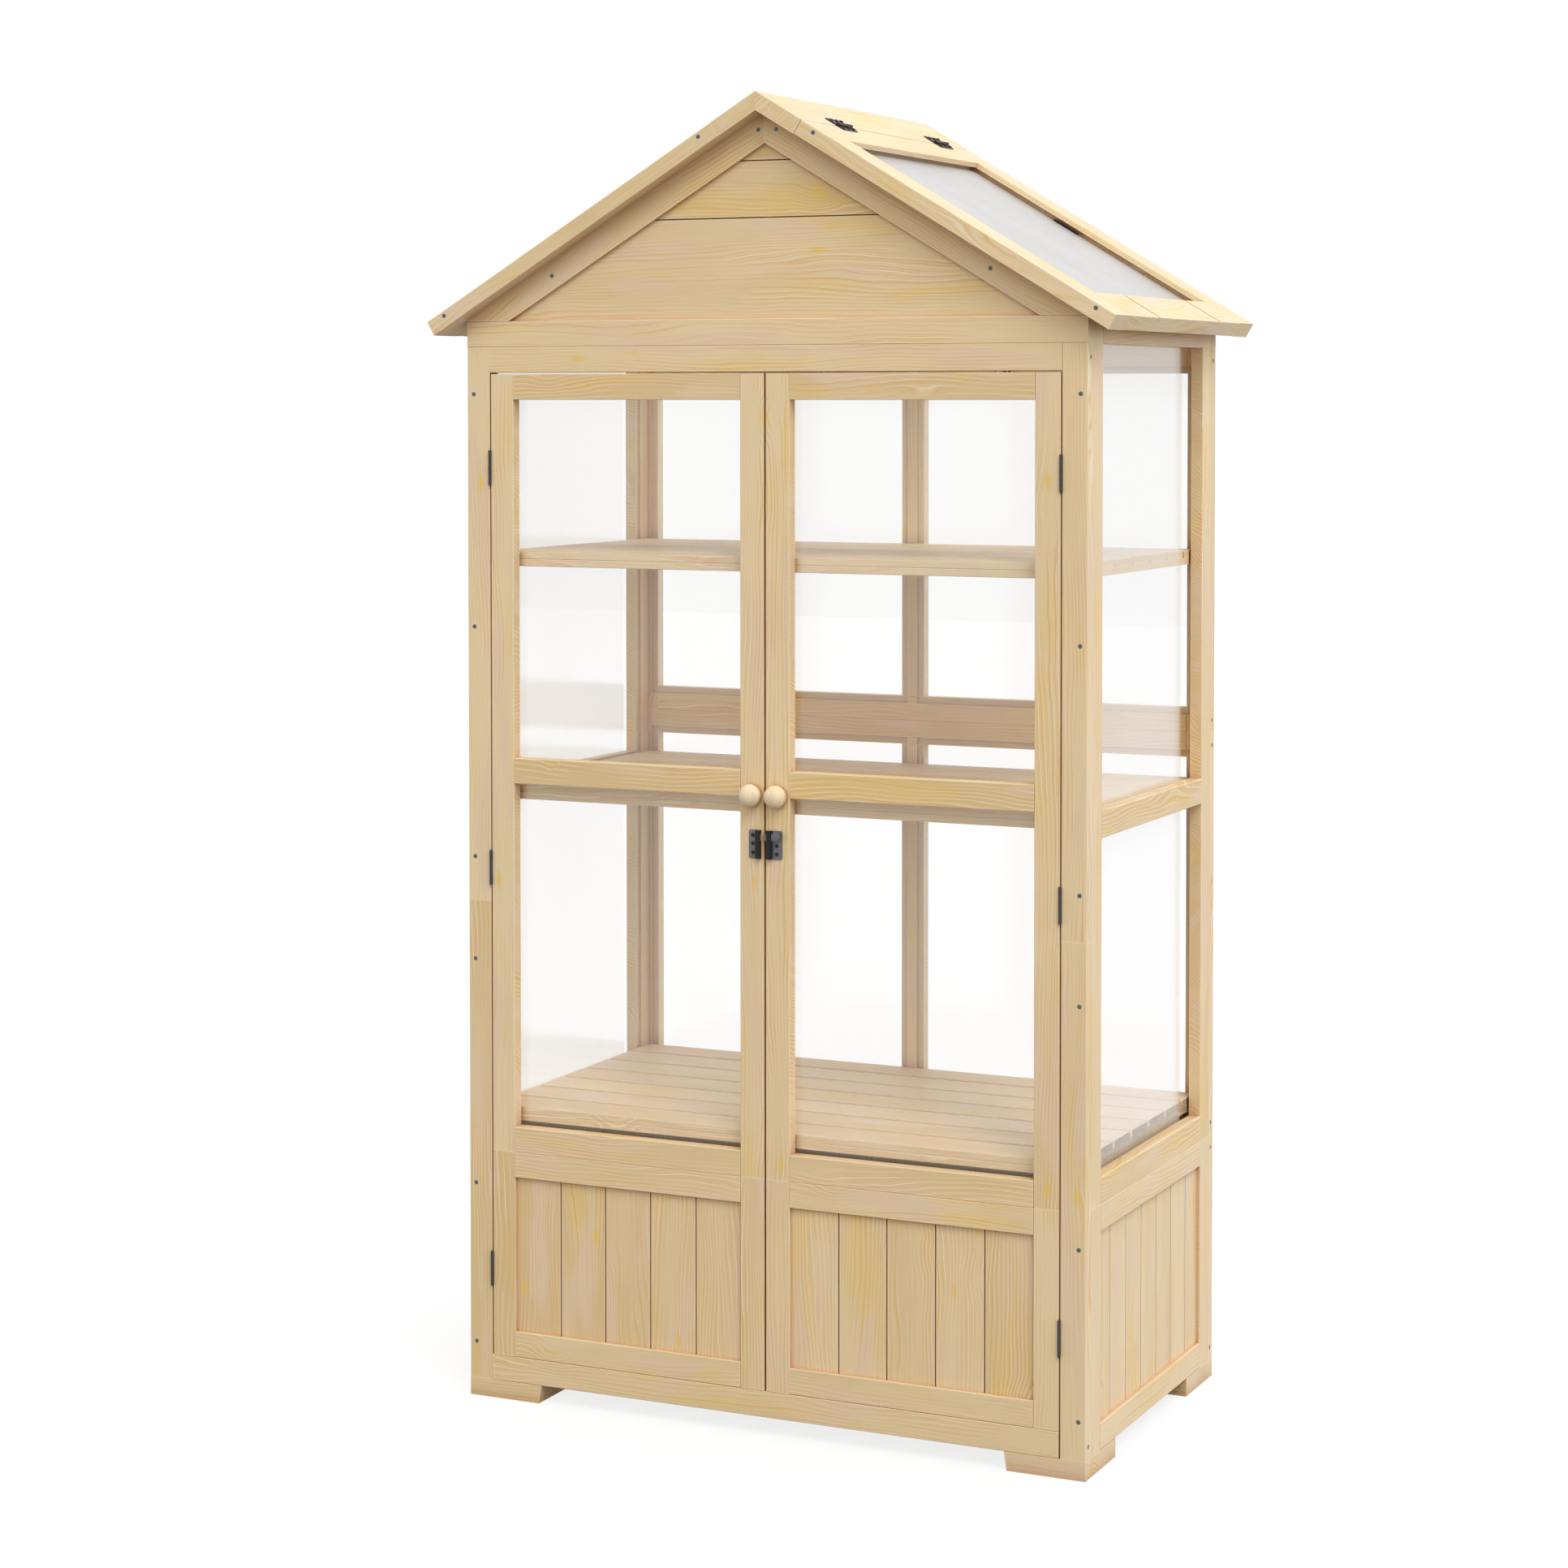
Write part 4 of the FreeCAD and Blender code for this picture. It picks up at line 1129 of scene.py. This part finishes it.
def makeBolt():
    back = fittings["frontFace"] - latch["barBack"]
    front = back - latch["barThick"]
    start, end = latch["barEnds"]
    low, high = (start, front, latch["barLow"]), (end, back, latch["barHigh"])
    bar = sheetPlate(low, high, latch["barCorner"], lambda spot: True)
    x, level = latch["grip"]
    neckRun = (0, -latch["neckLength"], 0)
    neck = barrel((x, front, level), neckRun, latch["neckRadius"], latch["neckEase"])
    clearPick()
    bpy.ops.mesh.primitive_cylinder_add(
        vertices=latch["gripSides"],
        radius=latch["gripRadius"],
        depth=latch["gripDepth"],
        location=(x, front - latch["neckLength"] - latch["gripDepth"] / 2, level),
        rotation=(math.pi / 2, math.pi / latch["gripSides"], 0),
    )
    grip = settle(bpy.context.object)
    bpy.ops.object.mode_set(mode="EDIT")
    bevelEdges(grip, lambda edge: runsAcross(edge, "y"), latch["gripRim"])
    bevelEdges(grip, lambda edge: runsAlong(edge, "y"), fittings["ease"])
    bpy.ops.object.mode_set(mode="OBJECT")
    bolt = joinAs("latchBolt", [bar, neck, grip])
    # the bolt and grip take the painted grey reflection too
    dress(bolt, "reflectionGreySteel", "latch_bolt", "dark_steel", "latch_bolt")


outer, inner = latch["keeper"]
rib = (inner - latch["ribWidth"], inner)
makeLatchPlate("latchKeeper", outer, rib, latch["keeperScrews"], "left_door", "latch_keeper")
inner, outer = latch["body"]
rib = (inner, inner + latch["ribWidth"])
makeLatchPlate("latchBody", outer, rib, latch["bodyScrews"], "right_door", "latch_body")
makeBolt()
print("latch made")


# roof hinges, built lying in the slope's own frame: x down the slope, z off it

roofHinge = {
    "line": 77.4 * mm,
    "centres": (-149.5 * mm, 184.0 * mm),
    "half": 23.0 * mm,
    "ridgeLeaf": 20.0 * mm,
    "flapLeaf": 12.0 * mm,
    "leaf": 1.5 * mm,
    "leafStart": 2.6 * mm,
    "corner": 1.2 * mm,
    "cornerSteps": 3,
    "barrel": 2.4 * mm,
    "pin": 1.2 * mm,
    "pinUp": 2.7 * mm,
    "knuckles": 5,
    "knuckleGap": 0.1 * mm,
    "web": (1.6 * mm, 3.4 * mm),
    "webUnder": 0.4 * mm,
    "webEase": 0.1 * mm,
    "screw": (2.9 * mm, 1.8 * mm, 1.6 * mm),
    "ridgeScrew": -13.5 * mm,
    "flapScrew": 7.5 * mm,
    "screwPitch": 16.0 * mm,
}


def ontoSlope(piece):
    piece.rotation_euler = (0, cabinet["pitch"], 0)
    piece.location = (0, 0, cabinet["ridge"])
    return settle(piece)


def knucklesOf(hinge, low, first):
    # start and end of every other knuckle, from the first one on
    step, gap = 2 * hinge["half"] / hinge["knuckles"], hinge["knuckleGap"]
    for index in range(first, hinge["knuckles"], 2):
        yield low + index * step + gap, low + (index + 1) * step - gap


def makeRoofPlate(way, width, low, high):
    # one leaf, with the corners away from the pin rounded
    line = roofHinge["line"]
    outer = line + way * width
    near, far = sorted((line + way * roofHinge["leafStart"], outer))
    plate = sheetPlate((near, low, 0), (far, high, roofHinge["leaf"]), ease=0)
    corner = roofHinge["corner"]

    def isOuter(edge):
        return runsAlong(edge, "z") and abs(middleOf(edge).x - outer) < corner

    bpy.ops.object.mode_set(mode="EDIT")
    bevelEdges(plate, isOuter, corner, roofHinge["cornerSteps"])
    bevelEdges(plate, isArris, fittings["ease"])
    bpy.ops.object.mode_set(mode="OBJECT")
    return plate


def makeRoofLeaves(name, first, way, width, screwAt, body, node):
    # the leaf whose knuckles start at the end also holds the pin
    screw = makeScrewHead(*roofHinge["screw"])
    parts = []
    line, up, gap = roofHinge["line"], roofHinge["pinUp"], roofHinge["knuckleGap"]
    for centre in roofHinge["centres"]:
        low, high = centre - roofHinge["half"], centre + roofHinge["half"]
        parts.append(makeRoofPlate(way, width, low, high))
        inner, outer = sorted(line + way * reach for reach in roofHinge["web"])
        for start, end in knucklesOf(roofHinge, low, first):
            parts.append(barrel((line, start, up), (0, end - start, 0), roofHinge["barrel"]))
            webLow = (inner, start, roofHinge["webUnder"])
            webHigh = (outer, end, roofHinge["leaf"])
            parts.append(sheetPlate(webLow, webHigh, ease=roofHinge["webEase"]))
        if not first:
            pinRun = (0, 2 * (roofHinge["half"] - gap), 0)
            parts.append(barrel((line, low + gap, up), pinRun, roofHinge["pin"]))
        for offset in (-1, 0, 1):
            across = centre + offset * roofHinge["screwPitch"]
            spot = (line + screwAt, across, roofHinge["leaf"])
            parts.append(placeCopy(screw, spot, (0, 0, 1)))
    bpy.data.objects.remove(screw)
    leaves = ontoSlope(joinAs(name, parts))
    dress(leaves, "darkSteel", body, "dark_steel", node)


makeRoofLeaves(
    "ridgeHingeLeaves", 0, -1, roofHinge["ridgeLeaf"], roofHinge["ridgeScrew"],
    "cabinet", "roof_hinge_ridge_leaves",
)
makeRoofLeaves(
    "flapHingeLeaves", 1, 1, roofHinge["flapLeaf"], roofHinge["flapScrew"],
    "roof_flap", "roof_hinge_flap_leaves",
)
print("roof hinges made")


# door hinges: their barrels stand just proud of the gap beside each door

doorHinge = {
    "levels": (180.0 * mm, 735.0 * mm, 1284.0 * mm),
    "half": 24.0 * mm,
    "pinX": 417.125 * mm,
    "pinY": -256.1 * mm,
    "postFace": 418.0 * mm,
    "doorFace": 416.25 * mm,
    "leaf": 0.8 * mm,
    "leafFront": 1.2 * mm,
    "leafBack": 14.0 * mm,
    "leafEase": 0.1 * mm,
    "barrel": 2.0 * mm,
    "pin": 0.9 * mm,
    "pinShort": 0.1 * mm,
    "knuckles": 7,
    "knuckleGap": 0.12 * mm,
    "web": (-0.6 * mm, 1.4 * mm),
    "webEase": 0.05 * mm,
}


def makeDoorLeaves(name, first, sideSigns, body, node):
    # the leaves whose knuckles start at the end are the posts', and hold the pins
    face = fittings["frontFace"]
    wood = doorHinge["doorFace"] if first else doorHinge["postFace"]
    metal = wood + (doorHinge["leaf"] if first else -doorHinge["leaf"])
    front, back = face + doorHinge["leafFront"], face + doorHinge["leafBack"]
    webFront, webBack = (face + depth for depth in doorHinge["web"])
    short = doorHinge["pinShort"]
    parts = []
    for side in sideSigns:
        near, far = sorted((side * wood, side * metal))
        pinX, pinY = side * doorHinge["pinX"], doorHinge["pinY"]
        for level in doorHinge["levels"]:
            low, high = level - doorHinge["half"], level + doorHinge["half"]
            ease = doorHinge["leafEase"]
            parts.append(sheetPlate((near, front, low), (far, back, high), ease=ease))
            for start, end in knucklesOf(doorHinge, low, first):
                ease = doorHinge["webEase"]
                parts.append(barrel((pinX, pinY, start), (0, 0, end - start), doorHinge["barrel"]))
                parts.append(sheetPlate((near, webFront, start), (far, webBack, end), ease=ease))
            if not first:
                pinRun = (0, 0, high - low - 2 * short)
                parts.append(barrel((pinX, pinY, low + short), pinRun, doorHinge["pin"]))
    leaves = joinAs(name, parts)
    dress(leaves, "hingeSteel", body, "dark_steel", node)


makeDoorLeaves("postHingeLeaves", 0, (-1, 1), "cabinet", "door_hinge_post_leaves")
makeDoorLeaves("leftDoorHingeLeaves", 1, (-1,), "left_door", "left_door_hinge_leaves")
makeDoorLeaves("rightDoorHingeLeaves", 1, (1,), "right_door", "right_door_hinge_leaves")
print("door hinges made")


# floor, light and camera

studio = {
    "floorSize": 30.0,
    "floorShade": 0.16,
    "floorPale": 0.2,
    "floorGlow": 0.82,
    "allRound": (1.09, 1.07, 1.025),
    "fromTop": (-0.17, -0.14, -0.06),
    "fromRight": (0.36, 0.38, 0.41),
    "fromFront": (-0.02, -0.05, -0.18),
    "sunStrength": 0.94,
    "sunAngle": 24.0,
    "sunFrom": (0.46, -0.46, 0.76),
}
view = {
    "place": (1.91012, -4.19472, 1.37596),
    "turn": 24.57,
    "tilt": -1.82,
    "roll": -0.01,
    "focal": 4095.78,
    "image": 1932.0,
    "centre": (1034.47, 623.75),
    "sensor": 36.0,
}


def addShade(tree, kind, *values):
    node = addNode(tree, kind)
    for socket, value in zip(node.inputs, values):
        feed(tree, socket, value)
    return node.outputs[0]


def grey(shade):
    return (shade, shade, shade, 1)


def seenDirectly(tree):
    # 1 for what the camera sees, also mirrored or through a sheet, 0 for light on the object
    path = addNode(tree, "ShaderNodeLightPath").outputs
    seen = calc(tree, "ADD", path["Is Camera Ray"], path["Is Glossy Ray"])
    return calc(tree, "MINIMUM", calc(tree, "ADD", seen, path["Is Transmission Ray"]), 1.0)


def finishTree(tree, kind, otherwise, seen):
    # one shader for the light on the object, and one for what is seen directly
    mixed = addShade(tree, "ShaderNodeMixShader", seenDirectly(tree), otherwise, seen)
    output = addNode(tree, kind)
    tree.links.new(mixed, output.inputs[0])


bpy.ops.mesh.primitive_plane_add(size=studio["floorSize"], location=(0, 0, 0))
floor = bpy.context.object
floor.name = "studioFloor"
floorFinish = bpy.data.materials.new("paleFloor")
floorFinish.use_nodes = True
tree = floorFinish.node_tree
tree.nodes.clear()
plain = addShade(tree, "ShaderNodeBsdfDiffuse", grey(studio["floorShade"]))
faint = addShade(tree, "ShaderNodeBsdfDiffuse", grey(studio["floorPale"]))
glow = addShade(tree, "ShaderNodeEmission", grey(1), studio["floorGlow"])
pale = addShade(tree, "ShaderNodeAddShader", faint, glow)
finishTree(tree, "ShaderNodeOutputMaterial", plain, pale)
floor.data.materials.append(floorFinish)

world = bpy.data.worlds.new("studioLight")
bpy.context.scene.world = world
world.use_nodes = True
tree = world.node_tree
tree.nodes.clear()
coordinate = addNode(tree, "ShaderNodeTexCoord")
level = studio["allRound"]
ways = splitUp(tree, coordinate.outputs["Generated"])
for out, key, sign in zip(ways, ("fromRight", "fromFront", "fromTop"), (1, -1, 1)):
    part = addNode(tree, "ShaderNodeVectorMath", operation="SCALE")
    part.inputs[0].default_value = [sign * number for number in studio[key]]
    tree.links.new(out, part.inputs["Scale"])
    total = addNode(tree, "ShaderNodeVectorMath", operation="ADD")
    tree.links.new(part.outputs[0], total.inputs[0])
    feed(tree, total.inputs[1], level)
    level = total.outputs[0]
soft = addShade(tree, "ShaderNodeBackground", level)
white = addShade(tree, "ShaderNodeBackground", grey(1))
finishTree(tree, "ShaderNodeOutputWorld", soft, white)

sunData = bpy.data.lights.new("softSun", "SUN")
sunData.energy = studio["sunStrength"]
sunData.angle = math.radians(studio["sunAngle"])
sun = bpy.data.objects.new("softSun", sunData)
sun.rotation_euler = Vector(studio["sunFrom"]).to_track_quat("Z", "Y").to_euler()
bpy.context.scene.collection.objects.link(sun)

# the shift keeps the photo's uprights near parallel
cameraData = bpy.data.cameras.new("photoCamera")
cameraData.sensor_width = view["sensor"]
cameraData.lens = view["focal"] / view["image"] * cameraData.sensor_width
cameraData.shift_x = (view["image"] / 2 - view["centre"][0]) / view["image"]
cameraData.shift_y = (view["centre"][1] - view["image"] / 2) / view["image"]
camera = bpy.data.objects.new("photoCamera", cameraData)
camera.location = view["place"]
angles = (90 + view["tilt"], view["roll"], view["turn"])
camera.rotation_euler = [math.radians(angle) for angle in angles]
bpy.context.scene.collection.objects.link(camera)
bpy.context.scene.camera = camera
bpy.context.scene.view_settings.view_transform = "Standard"
print("floor, light and camera set")
